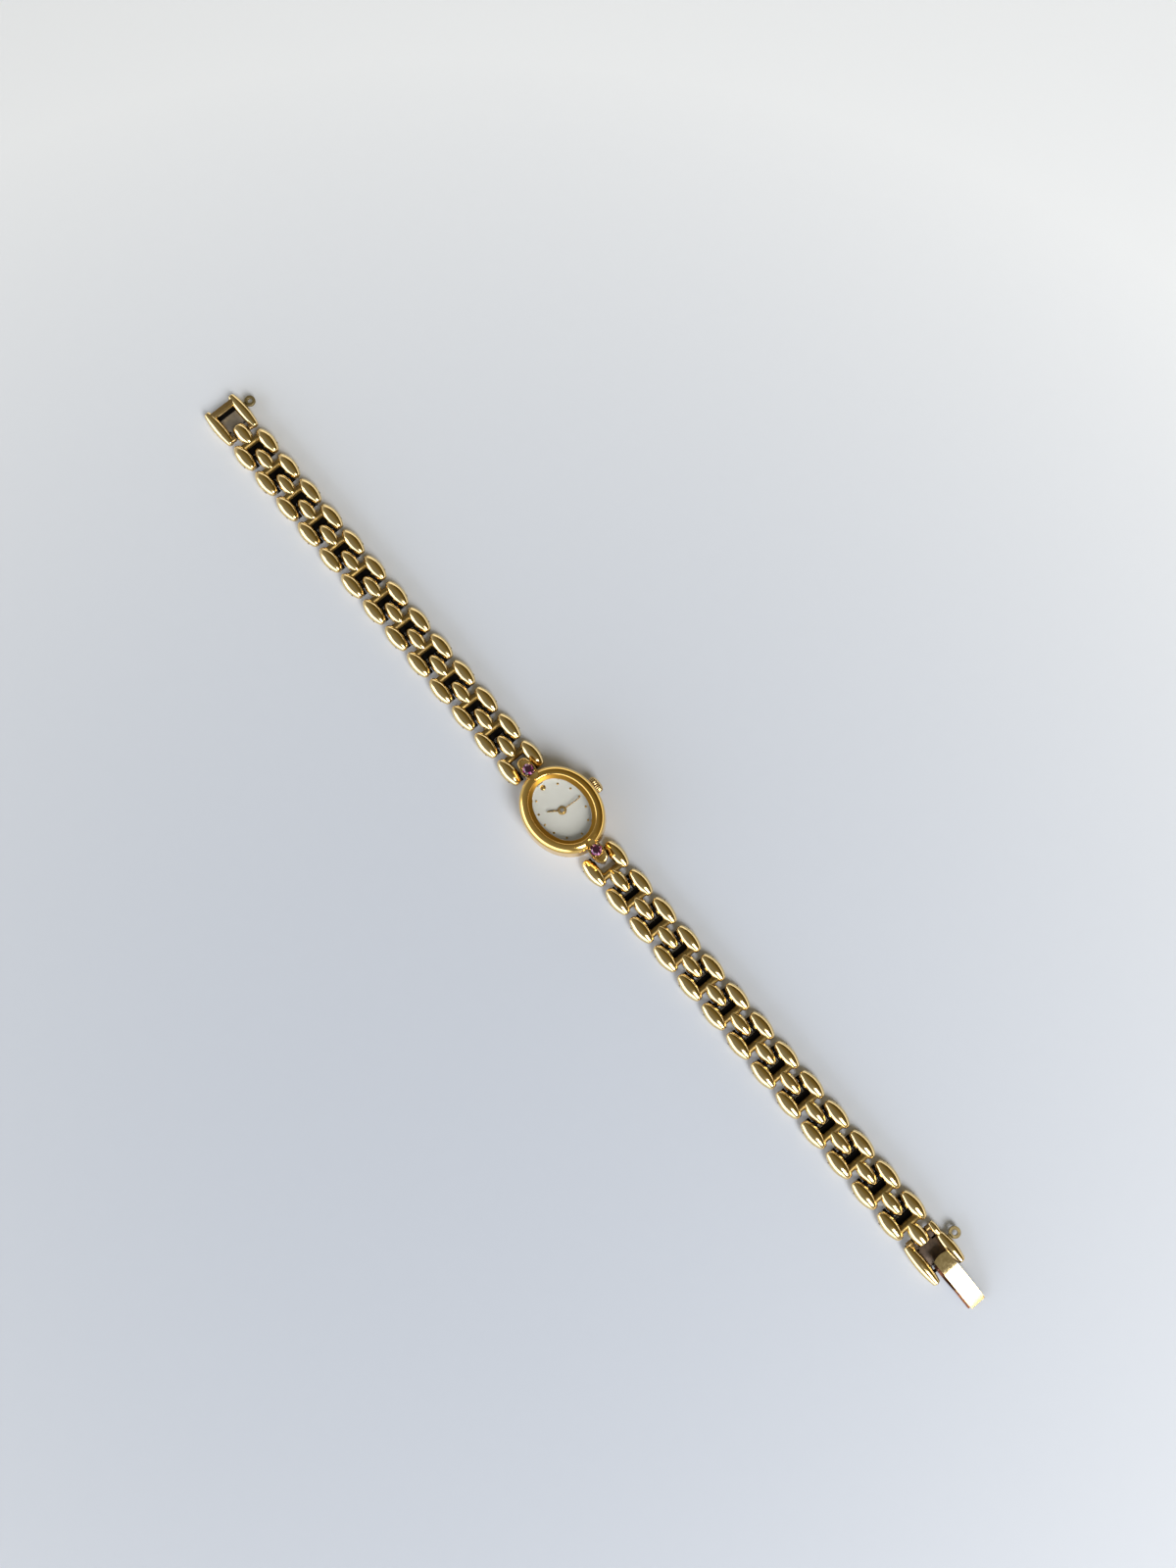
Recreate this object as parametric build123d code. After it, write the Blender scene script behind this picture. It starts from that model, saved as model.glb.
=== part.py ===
from build123d import *
import math
import os

# A lady's oval dress watch on a bracelet of rice-grain links, lying open and flat with its dial up.
# X runs across the bracelet towards the crown, Y runs along it towards 12 o'clock, and Z is up.
# The origin is the centre of the case back's flat face. Every length is in millimetres.

# Driving dimensions of the case and the dial.
case_width = 12.4
case_length = 14.8
case_thickness = 5.5
bezel_ring_wall = 1.5
flange_width = 0.5

# Driving dimensions of the bracelet.
links_each_side = 13
bracelet_gap = 0.23
bracelet_start = case_length / 2 + bracelet_gap
link_pitch = 5.75
row_offset = 2.35
outer_bead_length = 4.95
outer_bead_width = 2.5
centre_bead_length = 4.45
centre_bead_width = 2.3
bead_axis_height = 1.1
hinge_pin_radius = 0.22
hinge_pin_place = 1.74

# Fits that many pieces share.
running_clearance = 0.04
side_clearance = 0.05
cut_overrun = 1.0


def oval(width, length, z_low, z_high):
    """An upright plate with an elliptical outline about the dial's centre."""
    return Pos(0, 0, z_low) * extrude(Ellipse(width / 2, length / 2), z_high - z_low)


def oval_ring(width, length, wall, z_low, z_high):
    """An elliptical ring with a wall of one thickness at its four quarter points."""
    hole = oval(width - 2 * wall, length - 2 * wall, z_low - cut_overrun, z_high + cut_overrun)
    return oval(width, length, z_low, z_high) - hole


def post(x, y, radius, z_low, z_high):
    """An upright round bar."""
    return Pos(x, y, z_low) * extrude(Circle(radius), z_high - z_low)


def cross_rod(y, z, radius, x_low, x_high):
    """A round bar that lies across the bracelet."""
    return Pos(x_low, y, z) * Rot(0, 90, 0) * extrude(Circle(radius), x_high - x_low)


def block(x_low, x_high, y_low, y_high, z_low, z_high):
    """A rectangular block between two opposite corners."""
    centre = ((x_low + x_high) / 2, (y_low + y_high) / 2, (z_low + z_high) / 2)
    return Pos(*centre) * Box(x_high - x_low, y_high - y_low, z_high - z_low)


def spindle(length, middle_radius, end_radius, nose, depth_below, far_radius=None):
    """A rice-grain bead along Y: an arc turned about its axis, with rounded ends and a flat underside.

    A wider far_radius makes the bead's far end blunt.
    """
    half = length / 2
    far = far_radius or end_radius
    side = ThreePointArc((end_radius, -half), (middle_radius, 0), (far, half))
    ends = Polyline((far, half), (0, half), (0, -half), (end_radius, -half))
    profile = make_face(side + ends)
    profile = fillet(profile.vertices().filter_by(lambda corner: corner.X > end_radius / 2), nose)
    grain = Rot(0, 90, 0) * revolve(profile, Axis.Y, 360)
    wide = middle_radius + cut_overrun
    floor = block(-wide, wide, -half - cut_overrun, half + cut_overrun, -wide, -depth_below)
    return grain - floor


def marquise(length, width, nose):
    """A flat leaf outline along Y with two softened points."""
    tip = length / 2
    flank = width / 2
    sides = ThreePointArc((0, -tip), (flank, 0), (0, tip)) + ThreePointArc((0, tip), (-flank, 0), (0, -tip))
    leaf = make_face(sides)
    return fillet(leaf.vertices(), nose)


tooth_head_share = 0.8
tooth_foot_share = 1.1
tooth_root_share = 0.34
tooth_tip_share = 0.15


def toothed_disc(x, y, teeth_count, tooth_module, z_low, z_high, turn_share=0.0):
    """A gear with straight-flanked teeth; turn_share turns it by that part of one tooth."""
    pitch_radius = tooth_module * teeth_count / 2
    tip = pitch_radius + tooth_module * tooth_head_share
    root = pitch_radius - tooth_module * tooth_foot_share
    points = []
    for tooth in range(teeth_count):
        for flank_share, radius in ((-tooth_root_share, root), (-tooth_tip_share, tip),
                                    (tooth_tip_share, tip), (tooth_root_share, root)):
            angle = 2 * math.pi * (tooth + turn_share + flank_share) / teeth_count
            points.append((radius * math.cos(angle), radius * math.sin(angle)))
    outline = make_face(Polyline(*points, close=True))
    return Pos(x, y, z_low) * extrude(outline, z_high - z_low)


# Heights inside the head, from the case back up to the bezel's crest.
back_plate_top = 0.5
back_rim_top = 0.9
band_ledge = 1.2
plate_bottom = 1.6
plate_top = 2.6
dial_bottom = 3.1
dial_top = 3.4
band_top = 3.5
crystal_bottom = 4.1
crystal_top = 4.7
stem_height = 2.1

# The band: an oval wall that swells a little low down, with a bore for the back and a cavity.
band_foot_inset = 0.3
band_belly = 0.15
band_belly_height = 1.5
back_bore_wall = 0.65
cavity_wall = 1.25
band_foot_width = case_width - 2 * band_foot_inset
band_foot_length = case_length - 2 * band_foot_inset
back_bore_width = band_foot_width - 2 * back_bore_wall
back_bore_length = band_foot_length - 2 * back_bore_wall
cavity_width = case_width - 2 * cavity_wall
cavity_length = case_length - 2 * cavity_wall

# The bezel: a broad rounded ring with a lower flange that slopes down to the crystal.
bezel_outer_round = 1.15
bezel_inner_round = 0.25
flange_top = 5.06
flange_lip = 0.14
crystal_seat_ledge = 0.35
bezel_ring_inner_width = case_width - 2 * bezel_ring_wall
bezel_ring_inner_length = case_length - 2 * bezel_ring_wall
dial_opening_width = bezel_ring_inner_width - 2 * flange_width
dial_opening_length = bezel_ring_inner_length - 2 * flange_width
crystal_seat_width = dial_opening_width + 2 * crystal_seat_ledge
crystal_seat_length = dial_opening_length + 2 * crystal_seat_ledge

# The gem settings at 12 and 6 o'clock. Each is a rimmed boat that holds its stone amidships,
# soldered to the case at one end and hinged to the first link at the other. Places along it are
# measured from the case's end.
case_end = case_length / 2
setting_foot_length = 4.5
setting_foot_width = 2.1
setting_nose = 0.35
setting_foot_centre = 0.96
setting_foot_top = 2.3
setting_case_face = -0.35
setting_bottom = 0.3
setting_end = 3.05
setting_lap_bottom = 4.7
setting_lap_start = -1.22
setting_lap_top = 5.62
setting_seat_top = 5.2
setting_end_top = 4.2
setting_end_bottom = 3.1
setting_half_width = 1.12
setting_shoulder_place = -0.4
setting_shoulder_half = 0.88
setting_tail_place = 2.1
setting_tail_half = 0.93
setting_rim = 0.19
setting_near_floor = 4.95
setting_seat_floor = 4.5
setting_far_floor = 3.75
gem_radius = 0.96
gem_table_share = 0.56
gem_star_share = 0.88
gem_culet_share = 0.08
gem_crown = 0.34
gem_girdle = 0.07
gem_pavilion = 0.86
gem_girdle_height = 4.98
gem_centre = 0.8
gem_facets = 8
prong_radius = 0.16
prong_count = 4
half_turn_share = 0.5
bead_end_round = 0.28

# The crown and its tube.
crown_radius = 1.37
crown_gap = 0.05
crown_recess_clearance = 0.12
crown_inner_face = case_width / 2 + crown_gap
crown_flute_length = 0.86
crown_dome_height = 0.42
crown_flute_radius = 0.11
crown_flutes = 22
crown_cavity_radius = 0.78
crown_cavity_depth = 0.62
tube_outer_radius = 0.6
tube_length_out = 0.45
stem_radius = 0.3
crown_travel = 0.6


def band_bore():
    """The passage for the winding stem through the case wall."""
    reach = crown_inner_face + tube_length_out + cut_overrun
    start = cavity_width / 2 - cut_overrun
    return cross_rod(0, stem_height, stem_radius + running_clearance, start, reach)


def case_middle():
    foot = Pos(0, 0, back_plate_top) * Ellipse(band_foot_width / 2, band_foot_length / 2)
    belly = Pos(0, 0, band_belly_height) * Ellipse(case_width / 2 + band_belly, case_length / 2 + band_belly)
    shoulder = Pos(0, 0, band_top) * Ellipse(case_width / 2, case_length / 2)
    wall = loft([foot, belly]) + loft([belly, shoulder])
    wall -= cross_rod(0, stem_height, crown_radius + crown_recess_clearance, case_width / 2, case_width)
    tube_start = (cavity_width / 2 + case_width / 2) / 2
    tube_end = crown_inner_face + tube_length_out
    wall += cross_rod(0, stem_height, tube_outer_radius, tube_start, tube_end)
    wall -= oval(back_bore_width, back_bore_length, -cut_overrun, band_ledge)
    wall -= oval(cavity_width, cavity_length, band_ledge - cut_overrun, band_top + cut_overrun)
    wall -= band_bore()
    for setting in gem_settings_solid():
        wall -= setting
    return wall


def bezel():
    ring = oval(case_width, case_length, band_top, case_thickness)
    ring -= oval(bezel_ring_inner_width, bezel_ring_inner_length, flange_top, case_thickness + cut_overrun)
    crest_edges = ring.edges().group_by(Axis.Z)[-1].sort_by(SortBy.LENGTH)
    ring = fillet(crest_edges[-1], bezel_outer_round)
    crest_edges = ring.edges().group_by(Axis.Z)[-1].sort_by(SortBy.LENGTH)
    ring = fillet(crest_edges[0], bezel_inner_round)
    lip_top = crystal_top + flange_lip
    mouth = Pos(0, 0, flange_top) * Ellipse(bezel_ring_inner_width / 2, bezel_ring_inner_length / 2)
    throat = Pos(0, 0, lip_top) * Ellipse(dial_opening_width / 2, dial_opening_length / 2)
    ring -= loft([throat, mouth])
    ring -= oval(dial_opening_width, dial_opening_length, band_top - cut_overrun, lip_top)
    ring -= oval(crystal_seat_width, crystal_seat_length, band_top - cut_overrun, crystal_top)
    for setting in gem_settings_solid():
        ring -= setting
    return ring


# The crystal, its gasket and the ring that holds it off the dial.
gasket_wall = 0.12
crystal_rise = 0.22
crystal_bevel = 0.14
spacer_clearance = 0.05
spacer_wall = 0.24


def crystal():
    """A flat glass on a wider foot; its bevelled edge stands a little proud of the flange."""
    foot = oval(crystal_seat_width - 2 * gasket_wall, crystal_seat_length - 2 * gasket_wall,
                crystal_bottom, crystal_top)
    window = oval(dial_opening_width - 2 * running_clearance, dial_opening_length - 2 * running_clearance,
                  crystal_bottom, crystal_top + crystal_rise)
    window = chamfer(window.edges().group_by(Axis.Z)[-1], crystal_bevel)
    return foot + window


def crystal_gasket():
    return oval_ring(crystal_seat_width, crystal_seat_length, gasket_wall, crystal_bottom, crystal_top)


def dial_spacer_ring():
    width = crystal_seat_width - 2 * spacer_clearance
    length = crystal_seat_length - 2 * spacer_clearance
    return oval_ring(width, length, spacer_wall, dial_top, crystal_bottom)


# The dial, with a post hole, two feet and its applied dots.
dial_clearance = 0.15
dial_width = cavity_width - 2 * dial_clearance
dial_length = cavity_length - 2 * dial_clearance
dial_hole_radius = 0.56
dial_foot_radius = 0.2
dial_foot_length = 0.9
marker_side_margin = 0.7
marker_end_margin = 0.65
marker_oval_width = dial_opening_width - 2 * marker_side_margin
marker_oval_length = dial_opening_length - 2 * marker_end_margin
hours_on_dial = 12
small_dot_radius = 0.19
large_dot_radius = 0.46
dot_height = 0.12
dot_round = 0.07

# The main plate's oval, which the small pieces near its edge keep within.
movement_side_inset = 0.55
movement_end_inset = 0.75
movement_width = cavity_width - 2 * movement_side_inset
movement_length = cavity_length - 2 * movement_end_inset
dial_foot_side_inset = 1.2
dial_foot_end_inset = 2.8
dial_foot_x = movement_width / 2 - dial_foot_side_inset
dial_foot_y = movement_length / 2 - dial_foot_end_inset
dial_foot_places = ((dial_foot_x, dial_foot_y), (-dial_foot_x, -dial_foot_y))


def dial():
    plate = oval(dial_width, dial_length, dial_bottom, dial_top)
    for x, y in dial_foot_places:
        plate += post(x, y, dial_foot_radius, dial_bottom - dial_foot_length, dial_bottom)
    return plate - post(0, 0, dial_hole_radius, dial_bottom - cut_overrun, dial_top + cut_overrun)


def hour_markers():
    """One large dot at 12 o'clock and eleven small ones on an oval at even angles."""
    dots = []
    for hour in range(hours_on_dial):
        angle = 2 * math.pi * hour / hours_on_dial
        across = math.sin(angle) / (marker_oval_width / 2)
        along = math.cos(angle) / (marker_oval_length / 2)
        reach = 1 / math.hypot(across, along)
        radius = large_dot_radius if hour == 0 else small_dot_radius
        dot = post(0, 0, radius, dial_top, dial_top + dot_height)
        dot = fillet(dot.edges().group_by(Axis.Z)[-1], dot_round)
        dots.append(Pos(reach * math.sin(angle), reach * math.cos(angle), 0) * dot)
    return dots


# The hands. The hour hand sits on the hour wheel's pipe, the minute hand on the cannon pinion.
hand_thickness = 0.1
hour_hand_bottom = 3.55
minute_hand_bottom = 3.8
hour_hand_length = 2.35
hour_hand_width = 0.28
hour_hub_radius = 0.7
minute_hand_length = 3.45
minute_hand_width = 0.2
minute_hub_radius = 0.44
minute_hand_angle = 94
hour_hand_angle = 305
hand_tip_share = 0.8
cannon_radius = 0.32
hour_pipe_radius = 0.5
hand_hub_height = 0.14


def hand(reach, width, hub_radius, bore_radius, z_low, angle):
    """A baton that narrows a little to its tip, with a round hub; the angle is clockwise from 12 o'clock."""
    half = width / 2
    tip = half * hand_tip_share
    baton = make_face(Polyline((-half, 0), (-tip, reach), (tip, reach), (half, 0), close=True))
    blade = Pos(0, 0, z_low) * extrude(baton, hand_thickness)
    blade += post(0, 0, hub_radius, z_low, z_low + hand_hub_height)
    blade -= post(0, 0, bore_radius, z_low - cut_overrun, z_low + cut_overrun)
    return Rot(0, 0, -angle) * blade


def gem():
    """A round stone with eight main facets above and below and eight more turned between them."""
    corner = 1 / math.cos(math.pi / gem_facets)
    girdle_low = gem_girdle_height - gem_girdle
    table_radius = gem_radius * gem_table_share
    stone = post(0, 0, gem_radius, gem_girdle_height - gem_pavilion, gem_girdle_height + gem_crown)
    for turn_share, star_share in ((0, 1), (half_turn_share, gem_star_share)):
        turn = Rot(0, 0, 360 / gem_facets * turn_share)
        wide = RegularPolygon(gem_radius * corner, gem_facets)
        crown_side = loft([
            Pos(0, 0, gem_girdle_height) * wide,
            Pos(0, 0, gem_girdle_height + gem_crown) * RegularPolygon(table_radius * corner / star_share, gem_facets),
        ])
        tip_radius = gem_radius * gem_culet_share / star_share
        pavilion_side = loft([
            Pos(0, 0, gem_girdle_height - gem_pavilion) * RegularPolygon(tip_radius * corner, gem_facets),
            Pos(0, 0, girdle_low) * wide,
        ])
        belt = Pos(0, 0, girdle_low) * extrude(wide, gem_girdle)
        stone = stone & (turn * (crown_side + belt + pavilion_side))
    return Pos(0, gem_centre, 0) * stone


def setting_outline(inset):
    """The boat seen from above, or with an inset its hollow: a narrower near end and a blunt far end.

    It is made with the case's end at y = 0, as every part of the setting is.
    """
    shoulder = (setting_shoulder_half - inset, setting_shoulder_place)
    middle = (setting_half_width - inset, gem_centre)
    tail = (setting_tail_half - inset, setting_tail_place)
    right = ThreePointArc(shoulder, middle, tail)
    left = mirror(right, about=Plane.YZ)
    near = ThreePointArc((-shoulder[0], shoulder[1]), (0, setting_lap_start + inset), shoulder)
    far = ThreePointArc(tail, (0, setting_end - inset), (-tail[0], tail[1]))
    return make_face(right + far + left + near)


def setting_blank():
    """The gem setting for 12 o'clock before its hollow, the stone and the hinge hole are cut."""
    high = case_thickness + cut_overrun
    boat = Pos(0, 0, setting_foot_top) * extrude(setting_outline(0), high - setting_foot_top)
    leaf = marquise(setting_foot_length, setting_foot_width, setting_nose)
    foot = Pos(0, setting_foot_centre, 0) * extrude(leaf, setting_foot_top)
    side_outline = Polyline(
        (setting_case_face, setting_bottom),
        (setting_end - bead_end_round, setting_bottom),
        (setting_end, bead_axis_height),
        (setting_end - bead_end_round, setting_foot_top),
        (setting_end, setting_end_bottom),
        (setting_end, setting_end_top),
        (gem_centre + gem_radius, setting_seat_top),
        (gem_centre - gem_radius, setting_seat_top),
        (setting_case_face, setting_lap_top),
        (setting_lap_start, setting_lap_top),
        (setting_lap_start, setting_lap_bottom),
        (setting_case_face, setting_lap_bottom),
        close=True,
    )
    side = Plane.YZ * make_face(side_outline)
    slab = extrude(side, setting_foot_width, both=True)
    return (boat + foot) & slab


def setting_hollow():
    """The room inside the boat's rim: a shallow near pocket, the seat and a deeper far pocket."""
    inside = setting_outline(setting_rim)
    near = gem_centre - gem_radius
    far = gem_centre + gem_radius
    steps = ((setting_lap_start, near, setting_near_floor), (near, far, setting_seat_floor),
             (far, setting_end, setting_far_floor))
    pockets = []
    for low, high, floor in steps:
        room = Pos(0, 0, floor) * extrude(inside, case_thickness)
        pockets.append(room & block(-setting_foot_width, setting_foot_width, low, high, 0, case_thickness + cut_overrun))
    return pockets


def gem_setting():
    body = setting_blank()
    for pocket in setting_hollow():
        body -= pocket
    for number in range(prong_count):
        angle = 2 * math.pi * (number + half_turn_share) / prong_count
        x = gem_radius * math.sin(angle)
        y = gem_centre + gem_radius * math.cos(angle)
        body += Pos(x, y, gem_girdle_height) * Sphere(prong_radius)
        body += post(x, y, prong_radius, setting_seat_floor, gem_girdle_height)
    body -= gem()
    hole = cross_rod(bracelet_gap + hinge_pin_place, bead_axis_height, hinge_pin_radius + running_clearance,
                     -setting_foot_width, setting_foot_width)
    return Pos(0, case_end, 0) * (body - hole)


def gem_settings_solid():
    """Both settings' outer shapes, which the case and the bezel are notched for."""
    lap = Pos(0, 0, setting_lap_bottom) * extrude(setting_outline(0), case_thickness)
    notch = Pos(0, case_end, 0) * (setting_blank() + lap)
    return [notch, Rot(0, 0, 180) * notch]


# The case back: a snap-on oval lid with a rim and a seal above the rim.
back_round = 0.2
back_rim_wall = 0.3
back_gasket_wall = 0.28


def case_back():
    lid = oval(band_foot_width, band_foot_length, 0, back_plate_top)
    lid = fillet(lid.edges().group_by(Axis.Z)[0], back_round)
    rim_width = back_bore_width - 2 * running_clearance
    rim_length = back_bore_length - 2 * running_clearance
    return lid + oval_ring(rim_width, rim_length, back_rim_wall, back_plate_top, back_rim_top)


def case_back_gasket():
    width = back_bore_width - running_clearance
    length = back_bore_length - running_clearance
    return oval_ring(width, length, back_gasket_wall, back_rim_top, band_ledge)


def crown():
    """The fluted crown with a domed end and a cavity that slides over the case tube."""
    flute_end = crown_inner_face + crown_flute_length
    dome_end = flute_end + crown_dome_height
    bend = math.sqrt(0.5)
    dome = ThreePointArc(
        (flute_end, crown_radius),
        (flute_end + crown_dome_height * bend, crown_radius * bend),
        (dome_end, 0),
    )
    sides = Polyline((dome_end, 0), (crown_inner_face, 0), (crown_inner_face, crown_radius), (flute_end, crown_radius))
    body = Pos(0, 0, stem_height) * revolve(make_face(dome + sides), Axis.X, 360)
    flutes = []
    for number in range(crown_flutes):
        angle = 2 * math.pi * number / crown_flutes
        y = crown_radius * math.cos(angle)
        z = stem_height + crown_radius * math.sin(angle)
        flutes.append(cross_rod(y, z, crown_flute_radius, crown_inner_face - cut_overrun, flute_end))
    body -= flutes
    return body - cross_rod(0, stem_height, crown_cavity_radius, crown_inner_face - cut_overrun,
                            crown_inner_face + crown_cavity_depth)


def crown_seal():
    """The rubber ring inside the crown that rubs on the case tube."""
    start = crown_inner_face + side_clearance
    outer = cross_rod(0, stem_height, crown_cavity_radius, start, start + tube_length_out / 2)
    inner = cross_rod(0, stem_height, tube_outer_radius + running_clearance, start - cut_overrun,
                      start + cut_overrun)
    return outer - inner


# The winding stem: a plain shaft with a groove for the setting lever and a short gear at its end.
stem_reach = 4.2
stem_inner_end = case_width / 2 - stem_reach
stem_groove_radius = 0.2
stem_groove_place = 1.28
stem_groove_start = stem_inner_end + stem_groove_place
stem_groove_length = 0.22
stem_gear_radius = 0.37
stem_gear_length = 0.6
stem_channel_radius = 0.42


def winding_stem():
    end = crown_inner_face + crown_cavity_depth
    shaft = cross_rod(0, stem_height, stem_radius, stem_inner_end, end)
    shaft += cross_rod(0, stem_height, stem_gear_radius, stem_inner_end, stem_inner_end + stem_gear_length)
    sleeve = cross_rod(0, stem_height, stem_radius, stem_groove_start, stem_groove_start + stem_groove_length)
    return shaft - (sleeve - cross_rod(0, stem_height, stem_groove_radius, stem_inner_end, end))


# The setting lever: a flat plate whose finger sits in the stem's groove and slides out with the stem.
lever_bottom = 1.32
lever_thickness = 0.16
lever_before_groove = 0.33
lever_past_groove = 0.44
lever_start = stem_groove_start - lever_before_groove
lever_end = stem_groove_start + lever_past_groove
lever_side = 0.75
lever_finger_half_width = 0.12


def setting_lever():
    plate = block(lever_start, lever_end, -lever_side, lever_side, lever_bottom, lever_bottom + lever_thickness)
    finger = block(stem_groove_start + running_clearance, stem_groove_start + stem_groove_length - running_clearance,
                   -lever_finger_half_width, lever_finger_half_width,
                   lever_bottom, stem_height - stem_groove_radius - running_clearance)
    return plate + finger


# The movement: an oval main plate, a battery in its pocket, a stepping motor and a short gear train.
battery_radius = 2.4
battery_height = 1.65
battery_centre = -2.75
battery_bottom = 0.68
battery_step_radius = 2.1
battery_step_height = 0.3
train_module = 0.045
pinion_teeth = 8
centre_wheel_teeth = 64
reduction_wheel_teeth = 60
reduction_angle = 125
rotor_angle = 130
motion_module = 0.085
cannon_teeth = 10
minute_wheel_teeth = 30
minute_pinion_teeth = 8
hour_wheel_teeth = 32
minute_wheel_angle = 35
centre_post_radius = 0.15
arbor_radius = 0.1
bridge_leg_radius = 0.2

centre_wheel_bottom = 2.64
cannon_gear_bottom = 2.77
motion_gear_height = 0.1
hour_gear_bottom = 2.89
hour_gear_height = 0.14
reduction_wheel_bottom = 1.38
rotor_bottom = 1.0
rotor_height = 0.3
rotor_radius = 0.5
bridge_bottom = 0.64
bridge_thickness = 0.22

reduction_distance = train_module * (pinion_teeth + centre_wheel_teeth) / 2
reduction_x = reduction_distance * math.cos(math.radians(reduction_angle))
reduction_y = reduction_distance * math.sin(math.radians(reduction_angle))
rotor_distance = train_module * (pinion_teeth + reduction_wheel_teeth) / 2
rotor_x = reduction_x + rotor_distance * math.cos(math.radians(rotor_angle))
rotor_y = reduction_y + rotor_distance * math.sin(math.radians(rotor_angle))
minute_distance = motion_module * (cannon_teeth + minute_wheel_teeth) / 2
minute_x = minute_distance * math.cos(math.radians(minute_wheel_angle))
minute_y = minute_distance * math.sin(math.radians(minute_wheel_angle))


def main_plate():
    plate = oval(movement_width, movement_length, plate_bottom, plate_top)
    pocket_top = battery_bottom + battery_height + running_clearance
    plate -= post(0, battery_centre, battery_radius + side_clearance, plate_bottom - cut_overrun, pocket_top)
    channel_start = stem_inner_end - side_clearance
    plate -= cross_rod(0, stem_height, stem_channel_radius, channel_start, movement_width)
    slot_end = stem_groove_start + stem_groove_length + crown_travel + side_clearance
    plate -= block(stem_groove_start - side_clearance, slot_end,
                   -lever_finger_half_width - side_clearance, lever_finger_half_width + side_clearance,
                   plate_bottom - cut_overrun, stem_height)
    pinion_hole = train_module * pinion_teeth / 2 + train_module + running_clearance
    plate -= post(reduction_x, reduction_y, pinion_hole, plate_bottom - cut_overrun, plate_top + cut_overrun)
    plate -= post(rotor_x, rotor_y, arbor_radius + running_clearance, plate_bottom - cut_overrun, plate_top)
    for x, y in dial_foot_places:
        plate -= post(x, y, dial_foot_radius + running_clearance, plate_bottom, plate_top + cut_overrun)
    plate += post(0, 0, centre_post_radius, plate_top, minute_hand_bottom)
    plate += post(minute_x, minute_y, arbor_radius, plate_top, hour_gear_bottom + hour_gear_height)
    return plate


# The holder that centres the movement in the case and carries the dial.
holder_clearance = 0.05
holder_ledge = 0.2
holder_shelf_width = movement_width - 2 * holder_ledge
holder_shelf_length = movement_length - 2 * holder_ledge


def movement_ring():
    ring = oval(cavity_width - 2 * holder_clearance, cavity_length - 2 * holder_clearance, back_rim_top, dial_bottom)
    ring -= oval(movement_width + 2 * holder_clearance, movement_length + 2 * holder_clearance,
                 back_rim_top - cut_overrun, plate_top)
    ring -= oval(holder_shelf_width, holder_shelf_length, plate_top - cut_overrun, dial_bottom + cut_overrun)
    ring -= cross_rod(0, stem_height, stem_channel_radius, 0, case_width)
    return ring


def battery_cell():
    cap = post(0, battery_centre, battery_step_radius, battery_bottom, battery_bottom + battery_height)
    can = post(0, battery_centre, battery_radius, battery_bottom + battery_step_height,
               battery_bottom + battery_height)
    return cap + can


# The spring strip that holds the battery, standing on a foot under the main plate.
clamp_bottom = 0.54
clamp_thickness = 0.1
clamp_left = -0.3
clamp_right = 0.75
clamp_end_share = 0.75
clamp_foot_radius = 0.18
clamp_foot_place = (0.44, 0.42)


def battery_clamp():
    far_end = battery_centre - battery_radius * clamp_end_share
    foot_x, foot_y = clamp_foot_place
    strip = block(clamp_left, clamp_right, far_end, foot_y + 2 * clamp_foot_radius,
                  clamp_bottom, clamp_bottom + clamp_thickness)
    return strip + post(foot_x, foot_y, clamp_foot_radius, clamp_bottom, plate_bottom)


# The stepping motor: a winding on a soft-iron core, a stator plate and a magnet rotor.
coil_y = 4.12
coil_radius = 0.42
coil_half_length = 1.85
core_half_length = 2.5
core_half_depth = 0.15
stator_thickness = 0.22
stator_left = -2.9
stator_right = 2.5
stator_low = 1.8
stator_high = 3.3
stator_arm_width = 0.5
stator_bottom = rotor_bottom + (rotor_height - stator_thickness) / 2
rotor_hole_clearance = 0.12


def coil():
    """The winding, and the core that runs through it, as two solids."""
    core = block(-core_half_length, core_half_length, coil_y - core_half_depth, coil_y + core_half_depth,
                 stator_bottom, stator_bottom + stator_thickness)
    height = stator_bottom + stator_thickness / 2
    winding = cross_rod(coil_y, height, coil_radius, -coil_half_length, coil_half_length)
    return [winding - core, core]


def stator():
    top = stator_bottom + stator_thickness
    plate = block(stator_left, stator_right, stator_low, stator_high, stator_bottom, top)
    arm_end = coil_y - core_half_depth
    plate += block(-core_half_length, -core_half_length + stator_arm_width, stator_high - stator_arm_width, arm_end,
                   stator_bottom, top)
    plate += block(core_half_length - stator_arm_width, core_half_length, stator_high - stator_arm_width, arm_end,
                   stator_bottom, top)
    hole = rotor_radius + rotor_hole_clearance
    return plate - post(rotor_x, rotor_y, hole, stator_bottom - cut_overrun, top + cut_overrun)


def rotor():
    top = plate_bottom + arbor_radius
    body = post(rotor_x, rotor_y, rotor_radius, rotor_bottom, rotor_bottom + rotor_height)
    body += post(rotor_x, rotor_y, arbor_radius, bridge_bottom + bridge_thickness / 2, top)
    body += toothed_disc(rotor_x, rotor_y, pinion_teeth, train_module, reduction_wheel_bottom,
                         reduction_wheel_bottom + motion_gear_height, half_turn_share)
    return body


def reduction_wheel():
    wheel_top = reduction_wheel_bottom + motion_gear_height
    pinion_bottom = centre_wheel_bottom - side_clearance
    pinion_top = centre_wheel_bottom + motion_gear_height
    wheel = toothed_disc(reduction_x, reduction_y, reduction_wheel_teeth, train_module,
                         reduction_wheel_bottom, wheel_top)
    wheel += post(reduction_x, reduction_y, arbor_radius, bridge_bottom + bridge_thickness / 2, pinion_top)
    wheel += toothed_disc(reduction_x, reduction_y, pinion_teeth, train_module, pinion_bottom, pinion_top,
                          half_turn_share)
    return wheel


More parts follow.
